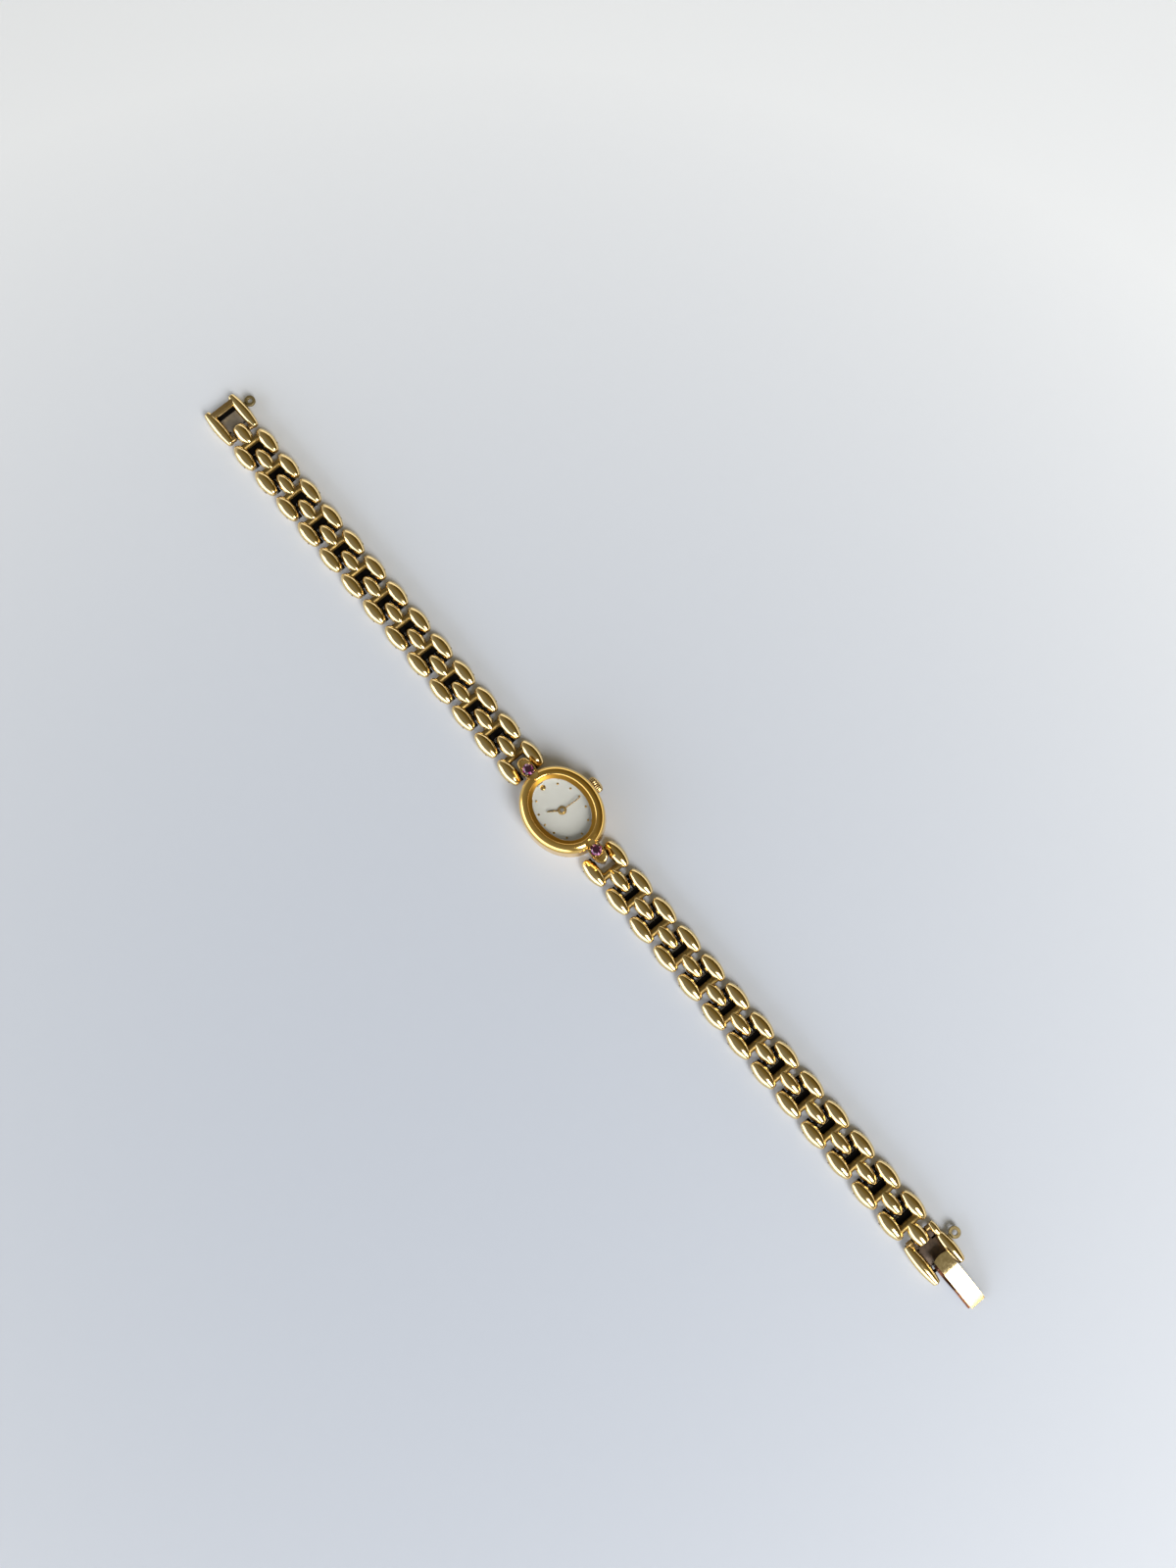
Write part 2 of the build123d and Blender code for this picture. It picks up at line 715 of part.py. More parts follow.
def train_bridge():
    """The bridge under the gear train, with a bearing hole for each arbor."""
    margin = rotor_radius
    low_x = min(rotor_x, reduction_x) - margin
    high_x = max(rotor_x, reduction_x) + margin
    low_y = min(rotor_y, reduction_y) - margin
    high_y = max(rotor_y, reduction_y) + margin
    top = bridge_bottom + bridge_thickness
    plate = block(low_x, high_x, low_y, high_y, bridge_bottom, top)
    leg_x = low_x + bridge_leg_radius
    leg_y = low_y + bridge_leg_radius
    plate += post(leg_x, leg_y, bridge_leg_radius, bridge_bottom, plate_bottom)
    for x, y in ((rotor_x, rotor_y), (reduction_x, reduction_y)):
        plate -= post(x, y, arbor_radius + running_clearance, bridge_bottom - cut_overrun, top + cut_overrun)
    return plate


def centre_wheel():
    wheel = toothed_disc(0, 0, centre_wheel_teeth, train_module, centre_wheel_bottom,
                         centre_wheel_bottom + motion_gear_height)
    return wheel - post(0, 0, cannon_radius, centre_wheel_bottom - cut_overrun, centre_wheel_bottom + cut_overrun)


def cannon_pinion():
    """The pinion that carries the minute hand; the centre wheel grips its lower end."""
    top = minute_hand_bottom + hand_hub_height
    body = post(0, 0, cannon_radius, centre_wheel_bottom, top)
    body += toothed_disc(0, 0, cannon_teeth, motion_module, cannon_gear_bottom,
                         cannon_gear_bottom + motion_gear_height, half_turn_share)
    return body - post(0, 0, centre_post_radius + running_clearance / 2, plate_top, minute_hand_bottom)


def hour_wheel():
    wheel = toothed_disc(0, 0, hour_wheel_teeth, motion_module, hour_gear_bottom, hour_gear_bottom + hour_gear_height)
    wheel += post(0, 0, hour_pipe_radius, hour_gear_bottom, hour_hand_bottom + hand_hub_height)
    return wheel - post(0, 0, cannon_radius + running_clearance, plate_top, minute_hand_bottom)


def minute_wheel():
    pinion_bottom = cannon_gear_bottom + motion_gear_height
    body = toothed_disc(minute_x, minute_y, minute_wheel_teeth, motion_module, cannon_gear_bottom, pinion_bottom)
    body += toothed_disc(minute_x, minute_y, minute_pinion_teeth, motion_module, pinion_bottom,
                         hour_gear_bottom + hour_gear_height)
    return body - post(minute_x, minute_y, arbor_radius + running_clearance / 2, plate_top, dial_bottom)


# The circuit board with its chip and the quartz crystal's can.
board_left = 0.85
board_inset = 0.7
board_right = movement_width / 2 - board_inset
board_low = -0.1
board_high = 1.65
board_bottom = 0.95
board_thickness = 0.15
chip_size = 0.8
chip_inset = 0.4
chip_height = 0.2
can_radius = 0.24
can_start_inset = 0.15
can_end_inset = 0.4
can_start = board_left + can_start_inset
can_end = board_right - can_end_inset
can_y = 1.2


def circuit_board():
    """The board, the chip under it and the crystal can on top, as three solids."""
    top = board_bottom + board_thickness
    board = block(board_left, board_right, board_low, board_high, board_bottom, top)
    chip_x = (board_left + board_right) / 2
    chip_y = board_low + chip_inset
    chip = block(chip_x - chip_size / 2, chip_x + chip_size / 2, chip_y, chip_y + chip_size,
                 board_bottom - chip_height, board_bottom)
    can = cross_rod(can_y, top + can_radius, can_radius, can_start, can_end)
    return [board, chip, can]


# The bracelet's beads and the small parts that join them.
outer_bead_end_radius = 0.5
centre_bead_end_radius = 0.45
bead_nose = 0.26
centre_bead_shift = 0.52
link_bar_inset = 1.35
link_bar_radius = 0.6
knuckle_radius = 0.42
knuckle_face = 1.08
pin_end_inset = 0.19
last_bead_length = 3.85
last_bead_width = 2.5
last_bead_shift = 0.3
last_bead_blunt_radius = 1.0
last_pin_place = 0.9
last_knuckle_face = 1.3

# The low plate that ties a link's two outer beads, slotted for the centre bead in front of it. The slot
# is narrower past its step, where that bead tapers.
web_half_width = 2.0
web_start = 0.6
web_end = 4.4
web_bottom = 0.25
web_top = 0.6
web_slot_clearance = 0.08
web_slot_step = 2.1
web_slot_tip_half = 0.92
web_slot_end = 2.95
web_long_slot_end = 4.15


def link_body(centre, bead_shift, next_pin_place, face, slot_step, slot_end):
    """Two outer beads, the centre bead behind them, and the bar and the low plate that tie the three.

    It is made with the start of its pitch at y = 0 and the beads' axes at z = 0.
    """
    pair_radius = outer_bead_width / 2
    outer = spindle(outer_bead_length, pair_radius, outer_bead_end_radius, bead_nose, bead_axis_height)
    next_pin = link_pitch + next_pin_place
    inner_face = knuckle_face + side_clearance
    slot_half = centre_bead_width / 2 + web_slot_clearance
    low = web_bottom - bead_axis_height
    high = web_top - bead_axis_height
    body = Pos(row_offset, link_pitch / 2, 0) * outer
    body += cross_rod(hinge_pin_place, 0, knuckle_radius, inner_face, row_offset)
    body += Pos(-row_offset, link_pitch / 2, 0) * outer
    body += cross_rod(hinge_pin_place, 0, knuckle_radius, -row_offset, -inner_face)
    web = block(-web_half_width, web_half_width, web_start, web_end, low, high)
    web -= block(-slot_half, slot_half, web_start - cut_overrun, slot_step, low - cut_overrun, high + cut_overrun)
    web -= block(-web_slot_tip_half, web_slot_tip_half, web_start, slot_end, low - cut_overrun, high + cut_overrun)
    body += web
    body += Pos(0, link_pitch + bead_shift, 0) * centre
    body += cross_rod(next_pin, 0, knuckle_radius, -face, face)
    body += cross_rod(link_pitch - link_bar_inset, 0, link_bar_radius, -row_offset, row_offset)
    reach = row_offset + outer_bead_width
    body -= cross_rod(hinge_pin_place, 0, hinge_pin_radius, -reach, reach)
    body -= cross_rod(next_pin, 0, hinge_pin_radius + running_clearance, -row_offset, row_offset)
    return body


def hinge_pin():
    """The pin pressed through a link's outer beads, its ends a little below their flanks."""
    reach = row_offset + outer_bead_width / 2 - pin_end_inset
    return cross_rod(hinge_pin_place, 0, hinge_pin_radius, -reach, reach)


# The clasp frames: two long side beads, a floor between them and an eyelet for a safety chain.
frame_bar_offset = 2.5
frame_bar_radius = 1.0
frame_bar_end_radius = 0.55
frame_bar_start = 0.5
frame_bar_end = 7.5
frame_floor_low = 0.15
frame_floor_high = 0.45
frame_floor_start = 2.6
frame_floor_arm_start = 1.5
frame_floor_arm_inner = 1.42
frame_floor_end = 6.0
mouth_bar_start = 5.6
mouth_bar_end = 6.75
mouth_bar_bottom = 1.15
mouth_bar_top = 1.75
mouth_rib_depth = 0.16
mouth_sill_start = 5.9
mouth_sill_top = 0.5
eyelet_outer_radius = 0.92
eyelet_bore_radius = 0.42
eyelet_height = 0.5
eyelet_centre_height = 1.0
eyelet_reach = 4.42
receiver_eyelet_place = 4.7
frame_knuckle_face = last_knuckle_face + side_clearance


def side_bar(length):
    return spindle(length, frame_bar_radius, frame_bar_end_radius, bead_nose, frame_bar_radius)


def eyelet(place, side):
    """A flat loop beside a frame; side is +1 or -1 across the bracelet."""
    low = eyelet_centre_height - eyelet_height / 2
    high = eyelet_centre_height + eyelet_height / 2
    loop = post(side * eyelet_reach, place, eyelet_outer_radius, low, high)
    stem_half = eyelet_bore_radius
    inner = side * frame_bar_offset
    outer = side * (eyelet_reach - eyelet_bore_radius)
    loop += block(min(inner, outer), max(inner, outer), place - stem_half, place + stem_half, low, high)
    return loop


def eyelet_hole(place, side):
    return post(side * eyelet_reach, place, eyelet_bore_radius, -cut_overrun, eyelet_centre_height + cut_overrun)


def frame_floor(end):
    """The plate between a frame's side bars, with an arm on each side of the last link's bead."""
    floor = block(-frame_bar_offset, frame_bar_offset, frame_floor_arm_start, end, frame_floor_low, frame_floor_high)
    floor -= block(-frame_floor_arm_inner, frame_floor_arm_inner, frame_floor_arm_start - cut_overrun,
                   frame_floor_start, frame_floor_low - cut_overrun, frame_floor_high + cut_overrun)
    return floor


def frame_knuckles(bar_inner):
    """The two round bosses that take the last hinge pin."""
    bosses = []
    for side in (-1, 1):
        near = side * frame_knuckle_face
        far = side * bar_inner
        bosses.append(cross_rod(last_pin_place, bead_axis_height, knuckle_radius, min(near, far), max(near, far)))
    return bosses


def frame_hinge_pin():
    reach = frame_bar_offset + pin_end_inset
    return cross_rod(last_pin_place, bead_axis_height, hinge_pin_radius, -reach, reach)


def receiver_frame():
    """The frame at the 12 o'clock end, made with the end of the last link's pitch at y = 0."""
    length = frame_bar_end - frame_bar_start
    middle = (frame_bar_start + frame_bar_end) / 2
    body = Pos(frame_bar_offset, middle, frame_bar_radius) * side_bar(length)
    body += Pos(-frame_bar_offset, middle, frame_bar_radius) * side_bar(length)
    for boss in frame_knuckles(frame_bar_offset):
        body += boss
    body += frame_floor(frame_floor_end)
    body += block(-frame_bar_offset, frame_bar_offset, mouth_bar_start, mouth_bar_end,
                  mouth_bar_bottom, mouth_bar_top)
    body += block(-frame_bar_offset, frame_bar_offset, mouth_sill_start, mouth_bar_end,
                  0, mouth_sill_top)
    rib_middle = (mouth_bar_start + mouth_bar_end) / 2
    window_half = frame_bar_offset - frame_bar_radius
    body -= block(-window_half, window_half, rib_middle, rib_middle + mouth_rib_depth,
                  mouth_bar_top - mouth_rib_depth, mouth_bar_top + cut_overrun)
    body += eyelet(receiver_eyelet_place, 1)
    body -= eyelet_hole(receiver_eyelet_place, 1)
    return body - frame_hinge_pin()


# The hook frame at the 6 o'clock end, where the crown side of the frame starts with a short bead.
hook_bar_start = 0.85
hook_bar_end = 7.8
hook_short_bar_start = 2.5
short_bead_start = 0.45
short_bead_end = 2.7
short_bead_radius = 0.62
short_bead_end_radius = 0.4
hook_floor_end = 5.6
hook_eyelet_place = 4.0
tongue_pin_place = 6.2
tongue_pin_height = 1.0
tongue_pin_radius = 0.24


def hook_frame():
    """The frame at the 6 o'clock end in its own half's directions, so the crown is at negative x here."""
    long_bar = Pos(frame_bar_offset, (hook_bar_start + hook_bar_end) / 2, frame_bar_radius)
    short_bar = Pos(-frame_bar_offset, (hook_short_bar_start + hook_bar_end) / 2, frame_bar_radius)
    body = long_bar * side_bar(hook_bar_end - hook_bar_start)
    body += short_bar * side_bar(hook_bar_end - hook_short_bar_start)
    short_bead = spindle(short_bead_end - short_bead_start, short_bead_radius, short_bead_end_radius,
                         bead_nose, short_bead_radius)
    body += Pos(-frame_bar_offset, (short_bead_start + short_bead_end) / 2, bead_axis_height) * short_bead
    for boss in frame_knuckles(frame_bar_offset):
        body += boss
    body += block(frame_bar_offset - frame_bar_radius, frame_bar_offset,
                  last_pin_place - hinge_pin_radius, hook_bar_start + frame_bar_radius,
                  bead_axis_height - hinge_pin_radius, bead_axis_height + hinge_pin_radius)
    body += frame_floor(hook_floor_end)
    body += eyelet(hook_eyelet_place, -1)
    body -= eyelet_hole(hook_eyelet_place, -1)
    body -= tongue_pin()
    return body - frame_hinge_pin()


def tongue_pin():
    return cross_rod(tongue_pin_place, tongue_pin_height, tongue_pin_radius, -frame_bar_offset, frame_bar_offset)


# The hook tongue: a folded strip with a long top leaf, a sharp nose and a lower leaf rolled round its
# pin. The top leaf sits a little towards the crown side.
tongue_half_width = 1.3
tongue_offset = 0.35
strip = 0.26
tongue_rear = 4.6
tongue_nose = 13.9
tongue_rear_top = 2.3
tongue_crest_place = 7.2
tongue_crest_top = 2.32
tongue_middle_place = 11.2
tongue_middle_top = 1.46
tongue_nose_top = 0.52
tongue_barrel_radius = 0.5
tongue_rear_bow = 0.3
leaf_nose_inset = 0.78
leaf_pinch_place = 10.2
leaf_pinch_height = 1.36
leaf_low_place = 8.2
leaf_low_height = 0.62


def hook_tongue():
    top_line = Spline(
        (tongue_rear, tongue_rear_top - strip / 2),
        (tongue_crest_place, tongue_crest_top - strip / 2),
        (tongue_middle_place, tongue_middle_top - strip / 2),
        (tongue_nose - strip / 2, tongue_nose_top - strip / 2),
    )
    lower_line = Polyline(
        (tongue_nose - strip / 2, tongue_nose_top - strip / 2),
        (tongue_nose - leaf_nose_inset, strip / 2),
        (leaf_pinch_place, leaf_pinch_height - strip / 2),
        (leaf_low_place, leaf_low_height - strip / 2),
        (tongue_pin_place, tongue_pin_height - tongue_barrel_radius + strip / 2),
    )
    barrel = Pos(tongue_pin_place, tongue_pin_height) * Circle(tongue_barrel_radius)
    section = trace(lower_line, strip) + barrel
    section -= Pos(tongue_pin_place, tongue_pin_height) * Circle(tongue_pin_radius + running_clearance)
    lower_leaf = extrude(Plane.YZ * section, tongue_half_width, both=True)
    top_leaf = extrude(Plane.YZ * trace(top_line, strip), tongue_half_width, both=True)
    bow = (tongue_half_width ** 2 + tongue_rear_bow ** 2) / (2 * tongue_rear_bow)
    plan = post(0, tongue_rear + bow, bow, -cut_overrun, case_thickness)
    plan += block(-tongue_half_width, tongue_half_width, tongue_rear + bow, tongue_nose + cut_overrun,
                  -cut_overrun, case_thickness)
    return lower_leaf + Pos(-tongue_offset, 0, 0) * (top_leaf & plan)


def write(name, solids):
    """One file for one named piece, or for a group of alike or bonded solids."""
    group = solids if isinstance(solids, list) else [solids]
    bodies = [solid for shape in group for solid in shape.solids()]
    shape = bodies[0] if len(bodies) == 1 else Compound(children=bodies)
    export_step(shape, os.path.join("parts", name + ".step"))
    print(name, len(bodies))


def write_links(side_name, turn):
    grain = spindle(centre_bead_length, centre_bead_width / 2, centre_bead_end_radius, bead_nose, bead_axis_height)
    blunt_grain = spindle(last_bead_length, last_bead_width / 2, centre_bead_end_radius, bead_nose,
                          bead_axis_height, last_bead_blunt_radius)
    first = link_body(grain, centre_bead_shift, hinge_pin_place, knuckle_face, web_long_slot_end, web_long_slot_end)
    common = link_body(grain, centre_bead_shift, hinge_pin_place, knuckle_face, web_slot_step, web_slot_end)
    last = link_body(blunt_grain, last_bead_shift, last_pin_place, last_knuckle_face, web_slot_step, web_slot_end)
    for number in range(1, links_each_side + 1):
        body = {1: first, links_each_side: last}.get(number, common)
        place = turn * Pos(0, bracelet_start + (number - 1) * link_pitch, bead_axis_height)
        write(f"{side_name}_link_{number:02d}", [place * body, place * hinge_pin()])


def main():
    os.makedirs("parts", exist_ok=True)
    half_turn = Rot(0, 0, 180)
    clasp_start = bracelet_start + links_each_side * link_pitch
    receiver_place = Pos(0, clasp_start, 0)
    hook_place = half_turn * Pos(0, clasp_start, 0)
    setting = gem_setting()
    stone = Pos(0, case_end, 0) * gem()
    write("case_middle", case_middle())
    write("bezel", bezel())
    write("crystal", crystal())
    write("crystal_gasket", crystal_gasket())
    write("dial_spacer_ring", dial_spacer_ring())
    write("dial", dial())
    write("hour_markers", hour_markers())
    write("hour_hand", hand(hour_hand_length, hour_hand_width, hour_hub_radius, hour_pipe_radius,
                            hour_hand_bottom, hour_hand_angle))
    write("minute_hand", hand(minute_hand_length, minute_hand_width, minute_hub_radius, cannon_radius,
                              minute_hand_bottom, minute_hand_angle))
    write("upper_gem_setting", setting)
    write("lower_gem_setting", half_turn * setting)
    write("rubies", [stone, half_turn * stone])
    write("case_back", case_back())
    write("case_back_gasket", case_back_gasket())
    write("crown", [crown(), crown_seal()])
    write("winding_stem", winding_stem())
    write("setting_lever", setting_lever())
    write("main_plate", main_plate())
    write("movement_ring", movement_ring())
    write("battery_cell", battery_cell())
    write("battery_clamp", battery_clamp())
    write("coil", coil())
    write("stator", stator())
    write("rotor", rotor())
    write("reduction_wheel", reduction_wheel())
    write("train_bridge", train_bridge())
    write("centre_wheel", centre_wheel())
    write("cannon_pinion", cannon_pinion())
    write("hour_wheel", hour_wheel())
    write("minute_wheel", minute_wheel())
    write("circuit_board", circuit_board())
    write("receiver_frame", [receiver_place * receiver_frame(), receiver_place * frame_hinge_pin()])
    write("hook_frame", [hook_place * hook_frame(), hook_place * frame_hinge_pin(), hook_place * tongue_pin()])
    write("hook_tongue", hook_place * hook_tongue())
    write_links("upper", Rot(0, 0, 0))
    write_links("lower", half_turn)


main()
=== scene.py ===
# %% [markdown]
# # An oval dress watch on a bracelet of rice-grain links
# This notebook dresses a small gold watch that lies open and flat with its dial up. Its solids come
# from a CAD model and are the fixed frame. Blender adds what the eye enjoys: beads that are turned
# smoothly enough to carry long reflections, a faceted stone, a domed dot at each hour, and finishes
# for every surface. X runs across the bracelet towards the crown, Y along it towards 12 o'clock,
# and Z is up.

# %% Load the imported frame
import math

import bmesh
import bpy
from mathutils import Matrix, Vector


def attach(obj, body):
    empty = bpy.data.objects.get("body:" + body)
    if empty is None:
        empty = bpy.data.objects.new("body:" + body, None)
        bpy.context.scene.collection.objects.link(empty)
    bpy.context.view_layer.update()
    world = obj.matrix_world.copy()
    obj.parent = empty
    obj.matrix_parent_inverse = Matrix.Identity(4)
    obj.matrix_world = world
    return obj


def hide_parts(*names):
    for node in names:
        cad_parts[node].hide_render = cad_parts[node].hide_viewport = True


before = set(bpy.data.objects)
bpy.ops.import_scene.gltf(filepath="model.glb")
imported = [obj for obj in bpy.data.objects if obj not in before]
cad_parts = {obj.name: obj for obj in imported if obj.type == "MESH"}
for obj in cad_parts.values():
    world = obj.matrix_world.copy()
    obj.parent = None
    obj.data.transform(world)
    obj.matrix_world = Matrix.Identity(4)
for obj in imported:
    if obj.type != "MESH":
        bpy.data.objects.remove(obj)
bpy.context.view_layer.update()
mm = 0.001

# %% [markdown]
# ## Writing shader maths as Python
# A procedural finish is a chain of small nodes. Wiring each by hand hides the idea, so a number
# that leaves a node is wrapped in a class that knows the usual operators. `1 - worn * 0.4` then
# adds the Math nodes itself. Colours don't go through Math nodes, because those would turn them
# grey.

# %% A socket that can be used in sums
class Flow:
    """A number that varies over a surface."""

    def __init__(self, finish, socket):
        self.finish = finish
        self.socket = socket

    def sum_with(self, operation, *values):
        return self.finish.node("ShaderNodeMath", {"operation": operation}, dict(enumerate(values)))

    def __add__(self, other):
        return self.sum_with("ADD", self, other)

    __radd__ = __add__

    def __mul__(self, other):
        return self.sum_with("MULTIPLY", self, other)

    __rmul__ = __mul__

    def __sub__(self, other):
        return self.sum_with("SUBTRACT", self, other)

    def __rsub__(self, other):
        return self.sum_with("SUBTRACT", other, self)

    def __truediv__(self, other):
        return self.sum_with("DIVIDE", self, other)

    def __rtruediv__(self, other):
        return self.sum_with("DIVIDE", other, self)

    def __pow__(self, other):
        return self.sum_with("POWER", self, other)

    def above(self, edge, softness):
        """0 below the edge and 1 above it, with a soft step."""
        settings = {"interpolation_type": "SMOOTHSTEP"}
        values = {0: self, 1: edge - softness, 2: edge + softness}
        return self.finish.node("ShaderNodeMapRange", settings, values)


# %% A material that is built node by node
class Finish:
    """One procedural material with a Principled shader."""

    def __init__(self, name, owner=None):
        self.owner = owner or bpy.data.materials.new(name)
        self.owner.use_nodes = True
        self.tree = self.owner.node_tree
        self.shader = self.tree.nodes.get("Principled BSDF")

    def node(self, kind, settings=None, values=None, out=0):
        made = self.tree.nodes.new(kind)
        for name, value in (settings or {}).items():
            if name == "stops":
                self.set_stops(made.color_ramp, value)
            else:
                setattr(made, name, value)
        for name, value in (values or {}).items():
            self.feed(made.inputs[name], value)
        return Flow(self, made.outputs[out])

    def set_stops(self, ramp, stops):
        for number, (place, colour) in enumerate(stops):
            stop = ramp.elements[number] if number < 2 else ramp.elements.new(place)
            stop.position = place
            stop.color = (*colour, 1.0)

    def feed(self, socket, value):
        if isinstance(value, Flow):
            self.tree.links.new(value.socket, socket)
        else:
            socket.default_value = value

    def surface(self, **values):
        """Sets or links the shader's own sockets, such as base_color or roughness."""
        for name, value in values.items():
            plain_words = name.replace("_", " ").title()
            words = {"ior": "IOR", "ior_level": "Specular IOR Level"}.get(name, plain_words)
            self.feed(self.shader.inputs[words], value)
        return self.owner

    def spot(self, stretch=(1.0, 1.0, 1.0)):
        """The point on the object in millimetres, stretched as a pattern needs it."""
        place = self.node("ShaderNodeTexCoord", out="Object")
        scale = [part / mm for part in stretch]
        return self.node("ShaderNodeMapping", {}, {"Vector": place, "Scale": scale})

    def axis(self, name):
        """One coordinate of the point in millimetres."""
        return self.node("ShaderNodeSeparateXYZ", {}, {0: self.spot()}, out=name)

    def noise(self, scale, detail, stretch=(1.0, 1.0, 1.0)):
        values = {"Vector": self.spot(stretch), "Scale": scale, "Detail": detail}
        return self.node("ShaderNodeTexNoise", {}, values)

    def blend(self, share, low, high):
        """A colour between two others: a Mix node's sockets 6 and 7, and its output 2."""
        low, high = ((*tone, 1.0) if isinstance(tone, tuple) else tone for tone in (low, high))
        return self.node("ShaderNodeMix", {"data_type": "RGBA"}, {0: share, 6: low, 7: high}, out=2)

    def ramp(self, share, *stops):
        return self.node("ShaderNodeValToRGB", {"stops": stops}, {0: share})

    def bump(self, height, depth, under=None):
        """A normal that follows a height; the depth is in millimetres."""
        values = {"Height": height, "Distance": depth * mm, "Strength": 1.0}
        if under is not None:
            values["Normal"] = under
        return self.node("ShaderNodeBump", {}, values)


print("Helpers for finishes are ready")

# %% [markdown]
# ## Gold plate
# The bracelet is brass under polished gold plate. A polished metal has no colour of its own to
# speak of: it shows the room, tinted. What keeps it from looking like computer chrome is small:
# hair-thin wiping marks that run along the bracelet, a slow waviness left by the buffing wheel,
# patches that are a little duller, and painted shade low down, a darker and warmer tone near the
# table. Each gold is the same recipe with its own tint.

# %% Gold recipes
buffing_depth = 0.012
hairline_depth = 0.00045


def gold(name, bright, patch_and_shade_tone, gloss, wave=1.0):
    """Polished gold plate: its usual colour, its colour in patches and in painted shade low down, its
    roughness and how wavy it is.
    """
    finish = Finish(name)
    hairlines = finish.noise(9.0, 2.0, stretch=(1.0, 0.12, 1.0))
    buffing = finish.noise(0.9, 2.0)
    patches = finish.noise(0.45, 4.0)
    # Painted shade: the tone turns darker and warmer towards the bottom of each piece.
    painted_low_shade = 1 - finish.axis("Z").above(0.9, 0.8)
    tone = finish.blend(patches * 0.5 + painted_low_shade * 0.75, bright, patch_and_shade_tone)
    normal = finish.bump(buffing, buffing_depth * wave)
    normal = finish.bump(hairlines, hairline_depth, normal)
    dull = finish.noise(2.4, 3.0).above(0.55, 0.2)
    return finish.surface(base_color=tone, metallic=1.0, roughness=dull * 0.06 + gloss, normal=normal)


bracelet_gold = gold("bracelet_gold", (0.88, 0.69, 0.35), (0.74, 0.50, 0.20), 0.11)
bezel_gold = gold("bezel_gold", (0.90, 0.61, 0.20), (0.80, 0.45, 0.08), 0.10, wave=0.5)
setting_gold = gold("setting_gold", (0.92, 0.68, 0.28), (0.78, 0.46, 0.14), 0.11, wave=0.7)
tongue_gold = gold("tongue_gold", (0.84, 0.69, 0.39), (0.76, 0.57, 0.26), 0.10, wave=0.35)
print("Golds:", bracelet_gold.name, bezel_gold.name, setting_gold.name, tongue_gold.name)

# %% [markdown]
# ## Darker metal
# The hidden parts are the same alloy, worn or never polished, and several are painted darker as
# shade. The knuckles and plates under the beads are nearly black: polish residue, and painted shade
# for the gaps between the beads. The bars between them are a dull dark gold with painted shade, the
# clasp's floors brown and only satin, the hook's floor a darker painted reflection, the mouth bar
# brown as a painted reflection, and the tongue's lower leaf red-brown as painted shade under the top
# leaf. One recipe mixes clean and dirty metal by a patchy noise, and the near-black gets a recipe of
# its own, because it isn't metal at all.

# %% Darker metal
def soldered(name, clean, dirty, gloss):
    """Metal that no polishing wheel reaches, with soot and polish residue in patches."""
    finish = Finish(name)
    residue = finish.noise(1.6, 5.0).above(0.48, 0.22)
    grain = finish.noise(14.0, 4.0)
    return finish.surface(
        base_color=finish.blend(residue, clean, dirty), metallic=residue * -0.4 + 0.95,
        roughness=grain * 0.2 + gloss, normal=finish.bump(grain, 0.004),
    )


def residue_and_shade_black(name):
    """Near-black that sends back next to no light: dry polish residue, and painted shade in the gaps."""
    finish = Finish(name)
    crumbs = finish.noise(5.0, 4.0)
    return finish.surface(
        base_color=finish.blend(crumbs, (0.0045, 0.0035, 0.003), (0.001, 0.0008, 0.001)),
        roughness=crumbs * 0.15 + 0.7, ior_level=0.1, normal=finish.bump(crumbs, 0.01),
    )


# Near-black for the plates, knuckles and pins: some polish residue, and painted shade in the gaps.
residue_and_painted_shade = residue_and_shade_black("link_residue_and_painted_shade")
pin_end = soldered("pin_end", (0.12, 0.08, 0.04), (0.03, 0.02, 0.01), 0.4)
# The link bars are painted dark as the shade between the beads.
link_bar_painted_shade = soldered("link_bar_painted_shade", (0.30, 0.20, 0.06), (0.14, 0.085, 0.02), 0.28)
receiver_floor = soldered("receiver_floor", (0.40, 0.37, 0.34), (0.30, 0.27, 0.24), 0.42)
# The hook's floor is painted darker than the receiver's: a painted reflection.
hook_floor_painted_dark = soldered("hook_floor_painted_dark", (0.17, 0.125, 0.095), (0.09, 0.065, 0.05), 0.4)
# The mouth bar and the frames' knuckles are painted brown: a painted reflection of the dim ceiling.
clasp_bar_painted_dark = soldered("clasp_bar_painted_dark", (0.40, 0.27, 0.11), (0.24, 0.15, 0.05), 0.24)
eyelet_gold = soldered("eyelet_gold", (0.36, 0.28, 0.13), (0.22, 0.165, 0.07), 0.3)
# The lower leaf's red-brown is painted shade under the top leaf.
leaf_shade = soldered("leaf_shade", (0.16, 0.055, 0.02), (0.06, 0.02, 0.01), 0.3)
print("Darker metals:", residue_and_painted_shade.name, link_bar_painted_shade.name, receiver_floor.name, hook_floor_painted_dark.name)

# %% [markdown]
# ## Turning and casting shapes
# Every new piece starts as a bmesh in millimetres. Small parts are kept as template meshes and
# copied into a bigger piece at their places, as a jeweller solders castings together. The last step
# turns millimetres into metres, shades the curves smooth and keeps the creases sharp.

# %% Casting, soldering and setting out
def cast(shape):
    """Keeps a bmesh as a template mesh."""
    bmesh.ops.recalc_face_normals(shape, faces=shape.faces)
    template = bpy.data.meshes.new("template")
    shape.to_mesh(template)
    shape.free()
    return template


def solder(shape, template, place=Matrix.Identity(4), finish=0):
    """Copies a template into a piece at its place; finish is the number of one of the piece's finishes."""
    verts_before = len(shape.verts)
    faces_before = len(shape.faces)
    shape.from_mesh(template)
    shape.verts.ensure_lookup_table()
    shape.faces.ensure_lookup_table()
    bmesh.ops.transform(shape, matrix=place, verts=shape.verts[verts_before:])
    for face in shape.faces[faces_before:]:
        face.material_index = finish


